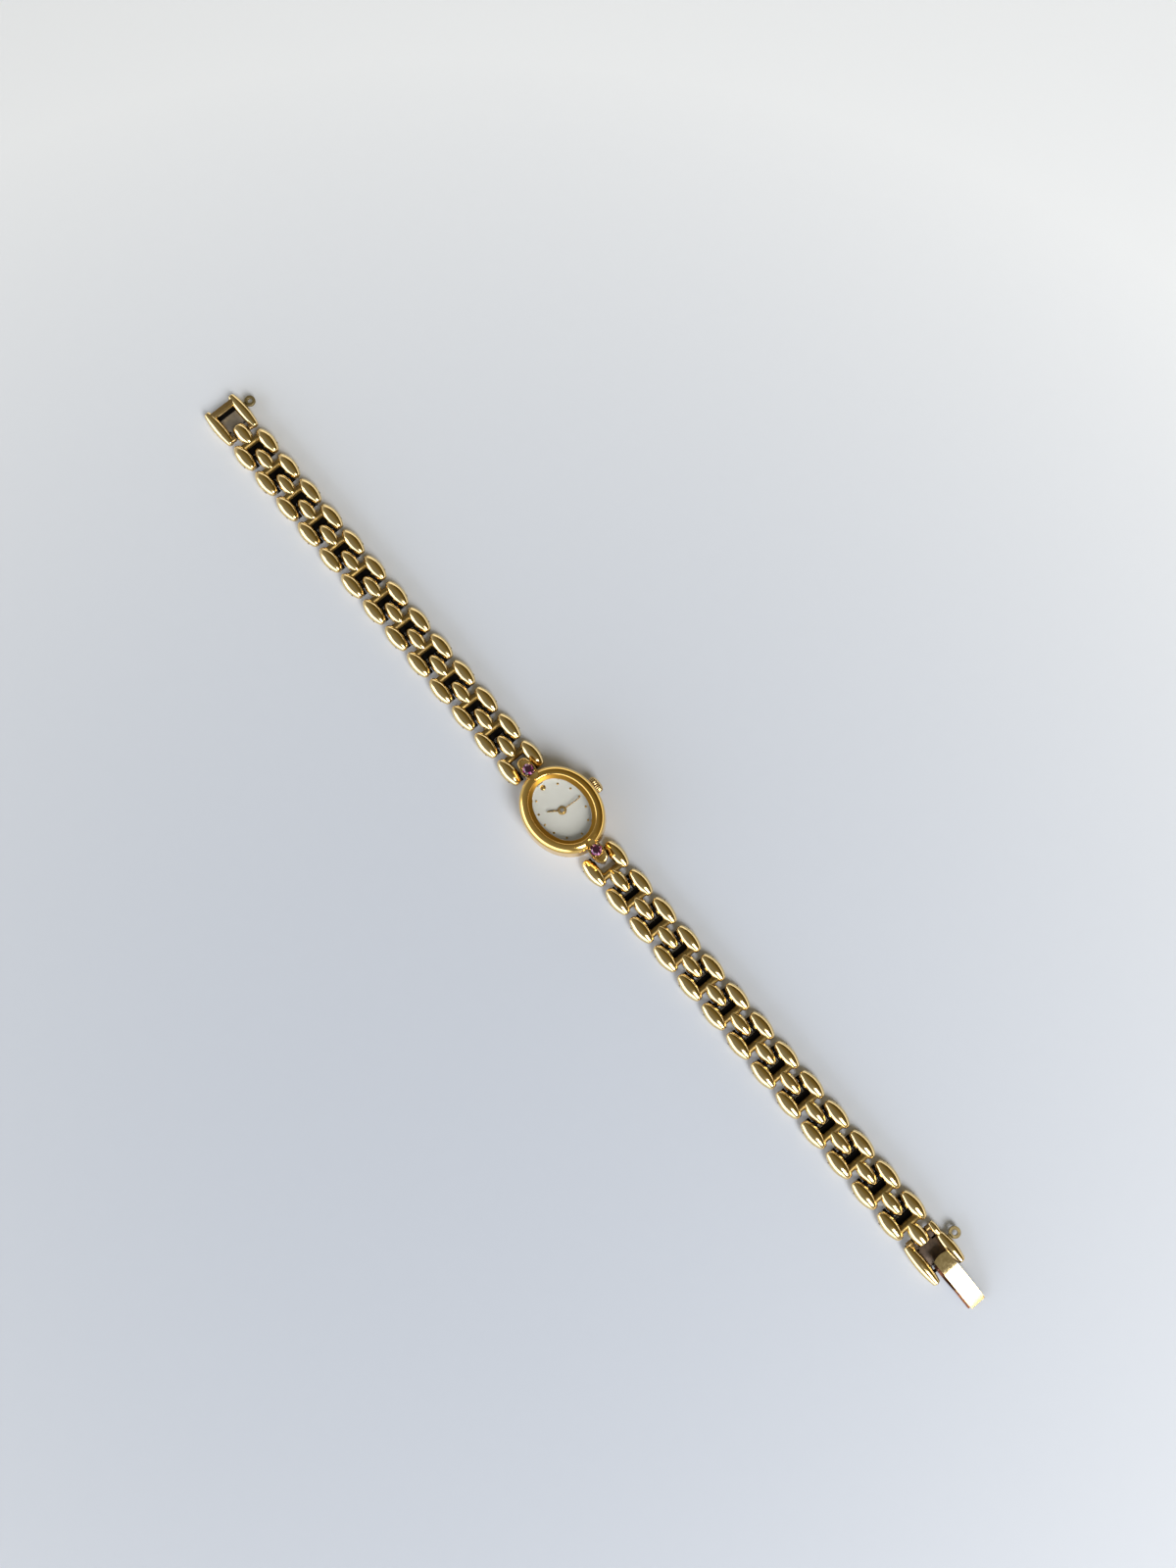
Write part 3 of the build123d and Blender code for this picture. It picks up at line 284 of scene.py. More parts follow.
def set_out(name, shape, body, finishes, stands_for, crease=30.0):
    """Makes a bmesh a named piece of the watch that rides on a body and stands for solids of the CAD."""
    bmesh.ops.recalc_face_normals(shape, faces=shape.faces)
    bmesh.ops.scale(shape, vec=(mm, mm, mm), verts=shape.verts)
    mesh = bpy.data.meshes.new(name)
    shape.to_mesh(mesh)
    shape.free()
    for finish in finishes:
        mesh.materials.append(finish)
    mesh.shade_smooth()
    mesh.set_sharp_from_angle(angle=math.radians(crease))
    piece = bpy.data.objects.new(name, mesh)
    bpy.context.scene.collection.objects.link(piece)
    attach(piece, body)
    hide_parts(*stands_for)


def at(x=0.0, y=0.0, z=0.0):
    return Matrix.Translation((x, y, z))


def turned(degrees, axis):
    return Matrix.Rotation(math.radians(degrees), 4, axis)


def only(kind, items):
    """The points, or the edges, among what an operator made."""
    return [item for item in items if isinstance(item, kind)]


print("The workbench is ready")

# %% [markdown]
# ## Stock shapes
# Most of the watch is made of a few stock shapes: round bars, flat bars and parts from a lathe. A
# primitive gives the bars, and its sharp edges are broken so that they catch a line of light, as
# filed metal does. A lathe part is an outline of points and edges that is spun once round its axis,
# which gives any section.

# %% Bars and lathe parts
rod_steps = 24
disc_steps = 48
weld_distance = 1e-4


def break_edges(shape, edges, rim):
    bmesh.ops.bevel(
        shape, geom=edges, offset=rim, offset_type="OFFSET", segments=2, profile=0.5,
        affect="EDGES", material=-1,
    )


def rod(radius, length, rim=0.04):
    """A round bar across the bracelet with its rims broken."""
    shape = bmesh.new()
    bmesh.ops.create_cone(
        shape, cap_ends=True, cap_tris=False, segments=rod_steps,
        radius1=radius, radius2=radius, depth=length,
    )
    rims = [edge for edge in shape.edges if abs(edge.verts[0].co.z - edge.verts[1].co.z) < length / 2]
    break_edges(shape, rims, rim)
    bmesh.ops.transform(shape, matrix=turned(90, "Y"), verts=shape.verts)
    return cast(shape)


def slab(low, high, rim=0.05):
    """A flat bar between two opposite corners with its edges broken."""
    shape = bmesh.new()
    bmesh.ops.create_cube(shape, size=1.0)
    size = [b - a for a, b in zip(low, high)]
    middle = [(a + b) / 2 for a, b in zip(low, high)]
    bmesh.ops.scale(shape, vec=size, verts=shape.verts)
    bmesh.ops.translate(shape, vec=middle, verts=shape.verts)
    break_edges(shape, shape.edges[:], rim)
    return cast(shape)


def outline(points):
    """A bmesh with one line of edges through the points."""
    shape = bmesh.new()
    line = [shape.verts.new(point) for point in points]
    for one, two in zip(line, line[1:]):
        shape.edges.new((one, two))
    return shape


def lathe(shape, axis, steps):
    """Turns an outline once round an axis."""
    bmesh.ops.spin(
        shape, geom=shape.verts[:] + shape.edges[:], cent=(0.0, 0.0, 0.0), axis=axis,
        dvec=(0.0, 0.0, 0.0), angle=2 * math.pi, steps=steps, use_merge=True, use_duplicate=False,
    )
    bmesh.ops.remove_doubles(shape, verts=shape.verts, dist=weld_distance)


def turned_disc(profile):
    """A lathe part about the Z axis; the profile is (radius, height) all round the section."""
    shape = outline([(radius, 0.0, height) for radius, height in profile])
    lathe(shape, (0.0, 0.0, 1.0), disc_steps)
    return cast(shape)


def cut_flat(shape, height):
    """Takes off what lies below a height and returns the edges of the cut."""
    cut = bmesh.ops.bisect_plane(
        shape, geom=shape.verts[:] + shape.edges[:] + shape.faces[:], dist=1e-5,
        plane_co=(0.0, 0.0, height), plane_no=(0.0, 0.0, -1.0), clear_outer=True,
    )
    return only(bmesh.types.BMEdge, cut["geom_cut"])


print("Round bars have", rod_steps, "sides and discs", disc_steps)

# %% [markdown]
# ## A rice-grain bead
# Each bead is a long barrel with blunt rounded ends and a flat underside that lies on the wrist. It
# could be a stretched sphere, but a sphere's tips are too sharp and its sides too round. A lathe
# gives the real form: one point is spun into the arc of the side, the arc's ends are drawn in to
# the axis, their corners are rounded, and the outline is spun about the bead's axis. A flat cut
# then takes off the underside. The arc may end wider than it starts, which makes the blunt bead
# next to the clasp.

# %% Turn a bead
bead_axis = 1.1
bead_nose = 0.26
arc_steps = 22
bead_steps = 48


def grain(length, waist, end, below, far=None, nose=bead_nose):
    """A bead along Y, with half widths at its waist and ends; below is the depth of its flat cut."""
    shape = bmesh.new()
    half = length / 2
    far = far or end
    centre_x = (2 * waist ** 2 - end ** 2 - far ** 2 - 2 * half ** 2) / (2 * (2 * waist - end - far))
    centre_y = (waist ** 2 - end ** 2 - half ** 2 - 2 * centre_x * (waist - end)) / (2 * half)
    reach = math.atan2(half - centre_y, far - centre_x) - math.atan2(-half - centre_y, end - centre_x)
    first = shape.verts.new((end, -half, 0.0))
    arc = bmesh.ops.spin(
        shape, geom=[first], cent=(centre_x, centre_y, 0.0), axis=(0.0, 0.0, 1.0), dvec=(0.0, 0.0, 0.0),
        angle=reach, steps=arc_steps, use_merge=False, use_duplicate=False,
    )
    last = only(bmesh.types.BMVert, arc["geom_last"])[0]
    for tip in bmesh.ops.extrude_vert_indiv(shape, verts=[first, last])["verts"]:
        tip.co.x = 0.0
    bmesh.ops.bevel(
        shape, geom=[first, last], offset=nose, offset_type="OFFSET", segments=5, profile=0.5,
        affect="VERTICES", material=-1,
    )
    lathe(shape, (0.0, 1.0, 0.0), bead_steps)
    rim = cut_flat(shape, -below)
    if rim:
        bmesh.ops.edgeloop_fill(shape, edges=rim)
    return cast(shape)


outer_grain = grain(4.95, 1.25, 0.50, bead_axis)
centre_grain = grain(4.45, 1.15, 0.45, bead_axis)
blunt_grain = grain(3.85, 1.25, 0.45, bead_axis, far=1.0)
print("Faces in one outer bead:", len(outer_grain.polygons))

# %% [markdown]
# ## The links
# A link is two outer beads and the centre bead behind them, joined by a stout bar. Its centre bead
# reaches between the next two outer beads and is pinned there. The pin's ends show as small dark
# marks on the outer flanks. Low down, a thin plate ties the outer beads. It is slotted for the
# centre bead in front and near-black: polish residue, and painted shade for the gaps, so it outlines
# the beads. Two small slabs narrow the slot where that bead tapers, so that it shows painted shade
# there too. The knuckles are near-black as painted shade, and the bar is a dark gold with painted
# shade. The first link has a longer, plain slot, where the stone's setting reaches in. The last
# link's centre bead is blunt, because it ends inside the clasp.

# %% Assemble and set out the links
bracelet_start = 7.63
link_pitch = 5.75
links_each_side = 13
row_offset = 2.35
pin_place = 1.74
clasp_pin_place = 0.9
knuckle = 0.42
boss_inner = 1.13
plate_low, plate_high, plate_end = 0.25, 0.6, 4.4
first_slot_end, slot_end_place = 4.15, 2.95
pin_rim = 0.02


def link_shape(bead, bead_place, next_pin, face, slot_end=slot_end_place):
    """A link from its own start; face is half the width of the knuckle round the next pin."""
    shape = bmesh.new()
    outer_boss = rod(knuckle, row_offset - boss_inner)
    pin_mark = rod(0.24, 0.3, rim=pin_rim)
    # The arms, corners and plate are near-black: polish residue and painted shade under the beads.
    arm = slab((-0.38, 0.6, plate_low), (0.38, plate_end, plate_high))
    slot_shade_corner = slab((-0.22, 2.1, plate_low), (0.22, 3.1, plate_high))
    for side in (-1, 1):
        solder(shape, outer_grain, at(side * row_offset, link_pitch / 2, bead_axis))
        solder(shape, outer_boss, at(side * (row_offset + boss_inner) / 2, pin_place, bead_axis), 1)
        solder(shape, pin_mark, at(side * 3.31, pin_place, bead_axis), 2)
        solder(shape, arm, at(side * 1.62, 0, 0), 1)
        if slot_end < first_slot_end:
            solder(shape, slot_shade_corner, at(side * 1.14, 0, 0), 1)
    # The plate: painted shade that closes the gap between the beads.
    solder(shape, slab((-1.9, slot_end, plate_low), (1.9, plate_end, plate_high)), finish=1)
    solder(shape, bead, at(0, bead_place, bead_axis))
    # The bar gets the dark gold painted with shade.
    solder(shape, rod(0.6, 2 * row_offset, rim=0.1), at(0, link_pitch - 1.35, bead_axis), 3)
    solder(shape, rod(knuckle, 2 * face), at(0, next_pin, bead_axis), 1)
    return cast(shape)


next_bead, next_pin_place = link_pitch + 0.52, link_pitch + pin_place
first_link = link_shape(centre_grain, next_bead, next_pin_place, 1.08, first_slot_end)
common_link = link_shape(centre_grain, next_bead, next_pin_place, 1.08)
last_link = link_shape(blunt_grain, link_pitch + 0.3, link_pitch + clasp_pin_place, 1.3)
end_links = {1: first_link, links_each_side: last_link}
link_finishes = (bracelet_gold, residue_and_painted_shade, pin_end, link_bar_painted_shade)
for side_name, half_turn in (("upper", 0), ("lower", 180)):
    for number in range(1, links_each_side + 1):
        piece_shape = bmesh.new()
        piece_shape.from_mesh(end_links.get(number, common_link))
        place = turned(half_turn, "Z") @ at(0, bracelet_start + (number - 1) * link_pitch, 0)
        bmesh.ops.transform(piece_shape, matrix=place, verts=piece_shape.verts)
        node = f"{side_name}_link_{number:02d}"
        set_out(node + "_beads", piece_shape, node, link_finishes, (node,))
print("Links set out:", 2 * links_each_side, "with", len(common_link.polygons), "faces each")

# %% [markdown]
# ## An oval ring
# The bezel follows an ellipse, so a plain lathe part that is stretched would get a section that is
# wide at the ends and thin at the sides. Instead it is drawn as a stack of oval loops, from one
# station of its section to the next: a loop is extruded and set to the next width, length and
# height. The last loop is bridged back to the first, which closes the ring.

# %% Draw an oval section
oval_steps = 480


def oval_ring(stations):
    """Stations are (width, length, height), in order round the section."""
    shape = bmesh.new()
    verts = bmesh.ops.create_circle(shape, cap_ends=False, segments=oval_steps, radius=1.0)["verts"]
    first_edges = shape.edges[:]
    edges = first_edges
    last_width, last_length = 1.0, 1.0
    for number, (width, length, height) in enumerate(stations):
        if number:
            grown = bmesh.ops.extrude_edge_only(shape, edges=edges)["geom"]
            edges = [edge for edge in only(bmesh.types.BMEdge, grown) if edge.is_boundary]
            verts = only(bmesh.types.BMVert, grown)
        for vert in verts:
            around = math.atan2(vert.co.y / last_length, vert.co.x / last_width)
            vert.co = (width / 2 * math.cos(around), length / 2 * math.sin(around), height)
        last_width, last_length = width, length
    bmesh.ops.bridge_loops(shape, edges=first_edges + edges)
    return shape


print("Each oval loop has", oval_steps, "points")

# %% [markdown]
# ## The bezel
# A broad soft ring, then a small step down, and an inner flange that slopes to the crystal like a
# funnel. The flange faces the dial and the opposite side of the ring, so it sees mostly gold and
# looks orange. That reflection is painted in: the flange gets its own deeper, orange gold. The ring
# is lowered where the stone settings lap over it.

# %% Make the bezel
case_width, case_length = 12.4, 14.8
band_top, shoulder, ring_top = 3.5, 4.35, 5.5
outer_roll, outer_roll_steps = 1.15, 14
inner_width, inner_length = 9.9, 12.3
inner_roll, inner_roll_steps = 0.25, 5
# The flange's deeper orange gold is a painted reflection of the gold round it.
flange_painted_reflection = gold("flange_painted_reflection", (0.66, 0.36, 0.06), (0.50, 0.24, 0.03), 0.3, wave=0.3)

bezel_stations = [(case_width, case_length, band_top), (case_width, case_length, shoulder)]
for step in range(1, outer_roll_steps):
    angle = math.pi / 2 * step / outer_roll_steps
    shift = outer_roll * (1 - math.cos(angle))
    height = shoulder + outer_roll * math.sin(angle)
    bezel_stations.append((case_width - 2 * shift, case_length - 2 * shift, height))
bezel_stations += [(10.1, 12.5, ring_top), (inner_width, inner_length, ring_top)]
for step in range(1, inner_roll_steps):
    angle = math.pi / 2 * step / inner_roll_steps
    shift = inner_roll * math.sin(angle)
    height = ring_top - inner_roll + inner_roll * math.cos(angle)
    bezel_stations.append((inner_width - 2 * shift, inner_length - 2 * shift, height))
bezel_stations += [
    (9.4, 11.8, 5.25), (9.4, 11.8, 5.12), (8.08, 10.8, 4.96), (8.05, 10.78, 4.93), (8.6, 11.0, 4.93),
    (8.6, 11.0, 4.7), (9.1, 11.5, 4.7), (9.1, 11.5, band_top),
]
bezel_shape = oval_ring(bezel_stations)

flange_half_width, flange_half_length, flange_floor = 4.72, 5.92, 4.65
# The flange's faces get the painted reflection.
for face in bezel_shape.faces:
    middle = face.calc_center_median()
    inside = (middle.x / flange_half_width) ** 2 + (middle.y / flange_half_length) ** 2
    face.material_index = 1 if inside < 1 and middle.z > flange_floor else 0

lap_floor, lap_reach, lap_half, lap_tip, lap_tip_start = 4.75, -1.22, 0.78, 0.76, -0.4
for vert in bezel_shape.verts:
    from_end = abs(vert.co.y) - case_length / 2
    if from_end < lap_tip_start:
        under_lap = math.hypot(vert.co.x, from_end + 0.34) < lap_tip
    else:
        under_lap = abs(vert.co.x) < lap_half
    if under_lap and from_end > lap_reach and vert.co.z > lap_floor:
        vert.co.z = lap_floor
bezel_finishes = (bezel_gold, flange_painted_reflection)
set_out("bezel_ring", bezel_shape, "head", bezel_finishes, ("bezel",), crease=38)
print("Bezel stations:", len(bezel_stations))

# %% [markdown]
# ## The crown
# A little fluted knob with a domed polished end, which a fingertip turns and pulls. Each flute
# could be cut out with a boolean, but 22 cuts leave ragged faces. So a lathe profile is spun in six
# steps for each flute, and the points that fall in a flute are pushed in. The knob stays one closed
# mesh, and its flutes get a darker finish as painted shade in the grooves.

# %% Make the crown
crown_flutes, steps_per_flute = 22, 6
flute_depth, flute_end, flute_root = 0.11, 7.2, 1.2
flute_shade_end, flute_shade_radius = 7.1, 1.325
stem_height = 2.1
crown_profile = [
    (6.87, 0.0), (6.87, 0.80), (6.25, 0.80), (6.25, 1.26), (6.33, 1.37), (7.03, 1.37), (7.13, 1.33),
    (7.26, 1.20), (7.38, 1.00), (7.46, 0.74), (7.51, 0.42), (7.53, 0.0),
]
crown_shape = outline([(x, radius, 0.0) for x, radius in crown_profile])
lathe(crown_shape, (1.0, 0.0, 0.0), crown_flutes * steps_per_flute)
for vert in crown_shape.verts:
    radius = math.hypot(vert.co.y, vert.co.z)
    if vert.co.x < flute_end and radius > flute_root:
        around = math.atan2(vert.co.z, vert.co.y) * crown_flutes
        groove = flute_depth * max(0.0, math.cos(around)) ** 0.7
        vert.co.y *= 1 - groove / radius
        vert.co.z *= 1 - groove / radius
# Painted shade: faces down in the flutes get the darker finish.
for face in crown_shape.faces:
    middle = face.calc_center_median()
    in_flute = middle.x < flute_shade_end and math.hypot(middle.y, middle.z) < flute_shade_radius
    face.material_index = 1 if in_flute else 0
bmesh.ops.translate(crown_shape, vec=(0.0, 0.0, stem_height), verts=crown_shape.verts)
crown_gold = gold("crown_gold", (0.86, 0.64, 0.31), (0.52, 0.34, 0.13), 0.17)
flute_painted_shade = soldered("flute_painted_shade", (0.16, 0.10, 0.04), (0.05, 0.03, 0.012), 0.36)
crown_finishes = (crown_gold, flute_painted_shade)
set_out("crown_knob_cap", crown_shape, "crown_knob", crown_finishes, ("crown",), 50)
print("Crown with", crown_flutes, "flutes")

# %% [markdown]
# ## The hour dots
# Twelve polished domes are pressed into the dial, eleven small and a large one at 12 o'clock. They
# sit on an oval at even angles, as the numbers of a clock do. A ball that is cut in half and
# flattened gives the dome. A whole ball would look the same from above, but half of it would stick
# in the lacquer.

# %% Make the hour dots
dial_top = 3.4
dot_height = 0.12
dot_oval_half_width, dot_oval_half_length = 3.5, 4.75


def dome(radius, steps):
    shape = bmesh.new()
    bmesh.ops.create_uvsphere(shape, u_segments=steps, v_segments=12, radius=1.0)
    cut_flat(shape, 0.0)
    rim = [edge for edge in shape.edges if edge.is_boundary]
    bmesh.ops.edgeloop_fill(shape, edges=rim)
    bmesh.ops.scale(shape, vec=(radius, radius, dot_height), verts=shape.verts)
    return cast(shape)


hand_gold = gold("hand_gold", (0.56, 0.37, 0.12), (0.42, 0.26, 0.07), 0.24, wave=0.3)
large_dot = dome(0.46, 40)
small_dot = dome(0.19, 24)
dots_shape = bmesh.new()
for hour in range(12):
    angle = math.radians(30 * hour)
    reach = 1 / math.hypot(math.sin(angle) / dot_oval_half_width, math.cos(angle) / dot_oval_half_length)
    template = small_dot if hour else large_dot
    solder(dots_shape, template, at(reach * math.sin(angle), reach * math.cos(angle), dial_top))
set_out("hour_dots", dots_shape, "head", (hand_gold,), ("hour_markers",), crease=60)
print("Twelve dots set")

# %% [markdown]
# ## The hands
# Two thin batons, each riveted to a round hub. A baton is a box drawn in at its tip, with its top
# edges broken so that a line of light runs along it. A flat sheet would do from far away, but it
# would have no edge to catch that light. The hub is a small turned dish, and the minute hand's hub
# has a raised ring round the end of the cannon pinion.

# %% Make the hands
baton_height = 0.1
hour_hub = [
    (0.5, 0.0), (0.66, 0.0), (0.70, 0.03), (0.70, 0.07), (0.66, 0.10), (0.58, 0.11), (0.54, 0.14),
    (0.5, 0.14), (0.5, 0.0),
]
minute_hub = [
    (0.32, 0.0), (0.42, 0.0), (0.44, 0.02), (0.44, 0.08), (0.41, 0.12), (0.36, 0.14), (0.32, 0.14),
    (0.32, 0.0),
]


def baton(reach, width):
    shape = bmesh.new()
    bmesh.ops.create_cube(shape, size=1.0)
    bmesh.ops.scale(shape, vec=(width, reach, baton_height), verts=shape.verts)
    bmesh.ops.translate(shape, vec=(0.0, reach / 2, baton_height / 2), verts=shape.verts)
    tip = [vert for vert in shape.verts if vert.co.y > reach / 2]
    bmesh.ops.scale(shape, vec=(0.8, 1.0, 1.0), verts=tip)
    top = [edge for edge in shape.edges if all(vert.co.z > baton_height / 2 for vert in edge.verts)]
    break_edges(shape, top, 0.035)
    return cast(shape)


def watch_hand(name, reach, width, hub, height, degrees, body, node):
    """Solders a baton and a hub; degrees are clockwise from 12 o'clock."""
    shape = bmesh.new()
    place = turned(-degrees, "Z") @ at(0, 0, height)
    solder(shape, baton(reach, width), place)
    solder(shape, turned_disc(hub), place)
    set_out(name, shape, body, (hand_gold,), (node,), crease=25)


watch_hand("hour_baton", 2.35, 0.28, hour_hub, 3.55, 305, "hours", "hour_hand")
watch_hand("minute_baton", 3.45, 0.2, minute_hub, 3.8, 94, "minutes", "minute_hand")
print("Hands set at about ten past ten")

# %% [markdown]
# ## The stones
# A round brilliant is the hull of a few rings of points: the table's eight corners, the ring where
# the star facets end, the girdle twice, the ring where the pavilion's facets end, and the culet. A
# convex hull over the rings gives the flat facets. Inside a real stone light bounces between the
# facets and comes out from some of them as pale pink and not from others, so each facet also gets
# its own share of light, kept in the mesh.

# %% Cut a stone
stone_place = 8.2
golden_share = 0.618
stone_rings = [
    (0.55, 5.32, 8, 0.0), (0.82, 5.13, 8, 0.5), (0.955, 4.985, 16, 0.0), (0.955, 4.925, 16, 0.0),
    (0.55, 4.52, 8, 0.5), (0.06, 4.14, 8, 0.0),
]


def brilliant():
    """The hull of rings of (radius, height, points, share of a step that the ring is turned by)."""
    shape = bmesh.new()
    for radius, height, count, turn in stone_rings:
        place = at(0, 0, height) @ turned(turn * 360 / count, "Z")
        bmesh.ops.create_circle(shape, cap_ends=False, segments=count, radius=radius, matrix=place)
    hull = bmesh.ops.convex_hull(shape, input=shape.verts[:], use_existing_faces=False)
    spare = only(bmesh.types.BMVert, hull["geom_unused"] + hull["geom_interior"])
    bmesh.ops.delete(shape, geom=spare, context="VERTS")
    loose = [edge for edge in shape.edges if not edge.link_faces]
    bmesh.ops.delete(shape, geom=loose, context="EDGES")
    flat = math.radians(1)
    bmesh.ops.dissolve_limit(
        shape, angle_limit=flat, use_dissolve_boundaries=False, verts=shape.verts, edges=shape.edges,
    )
    light = shape.faces.layers.float.new("facet_light")
    order = sorted(shape.faces, key=lambda facet: [round(part, 3) for part in facet.calc_center_median()])
    for number, facet in enumerate(order):
        facet[light] = (number * golden_share) % 1.0
    return cast(shape)


def ruby_finish():
    """A deep magenta stone whose facets send back different shares of light."""
    finish = Finish("ruby")
    lit = finish.node("ShaderNodeAttribute", {"attribute_name": "facet_light"}, out="Fac")
    depth = finish.noise(2.2, 2.0)
    colour = finish.ramp(
        lit + depth * 0.3 - 0.15,
        (0.0, (0.006, 0.0002, 0.004)), (0.55, (0.06, 0.001, 0.03)),
        (0.8, (0.42, 0.003, 0.20)), (0.97, (0.95, 0.45, 0.80)),
    )
    return finish.surface(
        base_color=colour, roughness=lit * 0.02 + 0.03, ior=1.76, transmission_weight=0.15,
        coat_weight=0.2, coat_roughness=0.02,
    )


ruby = ruby_finish()
stones_shape = bmesh.new()
for turn in (0, 180):
    solder(stones_shape, brilliant(), turned(turn, "Z") @ at(0, stone_place, 0))
set_out("two_stones", stones_shape, "head", (ruby,), ("rubies",), crease=2)
print("Stones cut")

# %% [markdown]
# ## The clasp frames
# The bracelet ends in two frames: long side beads, a brown satin floor between them, and a flat
# eyelet for a safety chain. The hook's floor is painted darker than the receiver's, as a painted
# reflection. The receiver is closed by a mouth bar: its body and the frames' knuckles are painted
# brown as a painted reflection, its lip keeps the bright gold, and black slabs under it are painted
# shadow. The hook frame starts with a short bead on the crown side. The real frames are cast in one.
# Here they are soldered from the same beads, rods and slabs as the links, which keeps every edge
# crisp, and one function makes what the two frames have in common.

# %% Make the clasp frames
clasp_start = bracelet_start + links_each_side * link_pitch
frame_axis = 1.0
frame_row = 2.5
frame_end = 0.55
floor_low, floor_high, floor_half = 0.15, 0.45, 2.4
floor_start, hook_floor_end, receiver_floor_end = 2.4, 5.6, 6.0
tongue_pin = 6.2
frame_boss = rod(knuckle, 0.95)
frame_pin = rod(0.22, 5.3, rim=pin_rim)
floor_arm = slab((-0.6, 1.5, floor_low), (0.6, 2.8, floor_high))
eyelet_loop = turned_disc([
    (0.42, -0.20), (0.47, -0.25), (0.86, -0.25), (0.92, -0.18), (0.92, 0.18), (0.86, 0.25), (0.47, 0.25),
    (0.42, 0.20), (0.42, -0.20),
])


def frame_parts(shape, floor_end, eyelet_place, eyelet_side):
    """What both frames have: the hinge's knuckles and pin, the floor with its arms, and the eyelet."""
    for side in (-1, 1):
        solder(shape, frame_boss, at(side * 1.83, clasp_pin_place, bead_axis), 2)
        solder(shape, floor_arm, at(side * 1.82, 0, 0), 1)
    solder(shape, frame_pin, at(0, clasp_pin_place, bead_axis), 3)
    floor = slab((-floor_half, floor_start, floor_low), (floor_half, floor_end, floor_high))
    solder(shape, floor, finish=1)
    solder(shape, eyelet_loop, at(eyelet_side * 4.42, eyelet_place, frame_axis), 4)
    stem = slab((-0.5, -0.42, 0.75), (0.5, 0.42, 1.25))
    solder(shape, stem, at(eyelet_side * 3.28, eyelet_place, 0), 4)


receiver_shape = bmesh.new()
receiver_bar = grain(7.0, frame_axis, frame_end, frame_axis)
for side in (-1, 1):
    solder(receiver_shape, receiver_bar, at(side * frame_row, 4.0, frame_axis))
frame_parts(receiver_shape, receiver_floor_end, 4.7, 1)
# Painted shadow: black slabs on the floor and the sill under the mouth bar.
solder(receiver_shape, slab((-2.4, 5.25, 0.3), (2.4, 6.75, 0.5)), finish=3)
solder(receiver_shape, slab((-2.4, 5.9, 0.02), (2.4, 6.7, 0.4)), finish=3)
# The mouth bar's body gets the brown painted reflection, and its gold lip keeps the bright gold.
solder(receiver_shape, slab((-2.3, 5.86, 1.15), (2.3, 6.75, 1.72), rim=0.08), finish=2)
solder(receiver_shape, slab((-2.3, 5.6, 1.15), (2.3, 5.9, 1.75), rim=0.12))

hook_shape = bmesh.new()
solder(hook_shape, grain(6.95, frame_axis, frame_end, frame_axis), at(frame_row, 4.325, frame_axis))
solder(hook_shape, grain(5.3, frame_axis, frame_end, frame_axis), at(-frame_row, 5.15, frame_axis))
solder(hook_shape, grain(2.25, 0.62, 0.4, 0.62, nose=0.22), at(-frame_row, 1.575, bead_axis))
frame_parts(hook_shape, hook_floor_end, 4.0, -1)
solder(hook_shape, slab((1.5, 0.68, 0.88), (2.5, 1.85, 1.32)))
solder(hook_shape, rod(0.24, 5.0, rim=pin_rim), at(0, tongue_pin, frame_axis), 3)

receiver_place = at(0, clasp_start, 0)
hook_place = turned(180, "Z") @ receiver_place
frames = (
    ("receiver", receiver_shape, receiver_place, receiver_floor),
    ("hook", hook_shape, hook_place, hook_floor_painted_dark),
)
for name, shape, place, floor_finish in frames:
    bmesh.ops.transform(shape, matrix=place, verts=shape.verts)
    finishes = (bracelet_gold, floor_finish, clasp_bar_painted_dark, residue_and_painted_shade, eyelet_gold)
    node = name + "_frame"
    set_out(name, shape, node, finishes, (node,))
print("Clasp frames start at", clasp_start, "mm")

# %% [markdown]
# ## The hook tongue
# The tongue is one strip of springy plate, folded at its sharp nose. The top leaf is flat at its
# rear and slopes to the nose from there. The lower leaf comes back under it and is rolled round a
# pin. Each leaf is drawn as a line of stations seen from the side, drawn out to its width and then
# given the plate's thickness. A box could be bent to the same curve, but its thickness would change
# where it bends.

# %% Fold the tongue
top_stations = [
    (4.6, 2.30), (5.4, 2.32), (6.4, 2.32), (7.2, 2.31), (7.55, 2.27), (8.2, 2.14), (9.2, 1.93),
    (10.2, 1.71), (11.2, 1.46), (12.2, 1.16), (13.0, 0.86), (13.6, 0.63), (13.88, 0.52),
]
low_stations = [
    (13.6, 0.22), (13.12, 0.26), (11.6, 0.84), (10.2, 1.36), (9.6, 1.22), (8.9, 0.9), (8.2, 0.62),
    (7.2, 0.70), (6.3, 0.76),
]
leaf_parts = 8


def leaf(stations, left, right, strip, rear_bow=0.0):
    """A strip of plate from left to right along stations of (place, height), with a bowed rear edge."""
    shape = outline([(left, y, z) for y, z in stations])
    edges = shape.edges[:]
    step = ((right - left) / leaf_parts, 0.0, 0.0)
    for part in range(leaf_parts):
        grown = bmesh.ops.extrude_edge_only(shape, edges=edges)["geom"]
        edges = [edge for edge in only(bmesh.types.BMEdge, grown) if edge.is_boundary]
        edges = [edge for edge in edges if abs(edge.verts[0].co.y - edge.verts[1].co.y) > 1e-6]
        bmesh.ops.translate(shape, vec=step, verts=only(bmesh.types.BMVert, grown))
    middle = (left + right) / 2
    rear = min(y for y, z in stations)
    for vert in shape.verts:
        if vert.co.y < rear + 0.01:
            vert.co.y += rear_bow * ((vert.co.x - middle) / (right - middle)) ** 2
    bmesh.ops.recalc_face_normals(shape, faces=shape.faces)
    bmesh.ops.solidify(shape, geom=shape.faces[:], thickness=strip)
    return cast(shape)


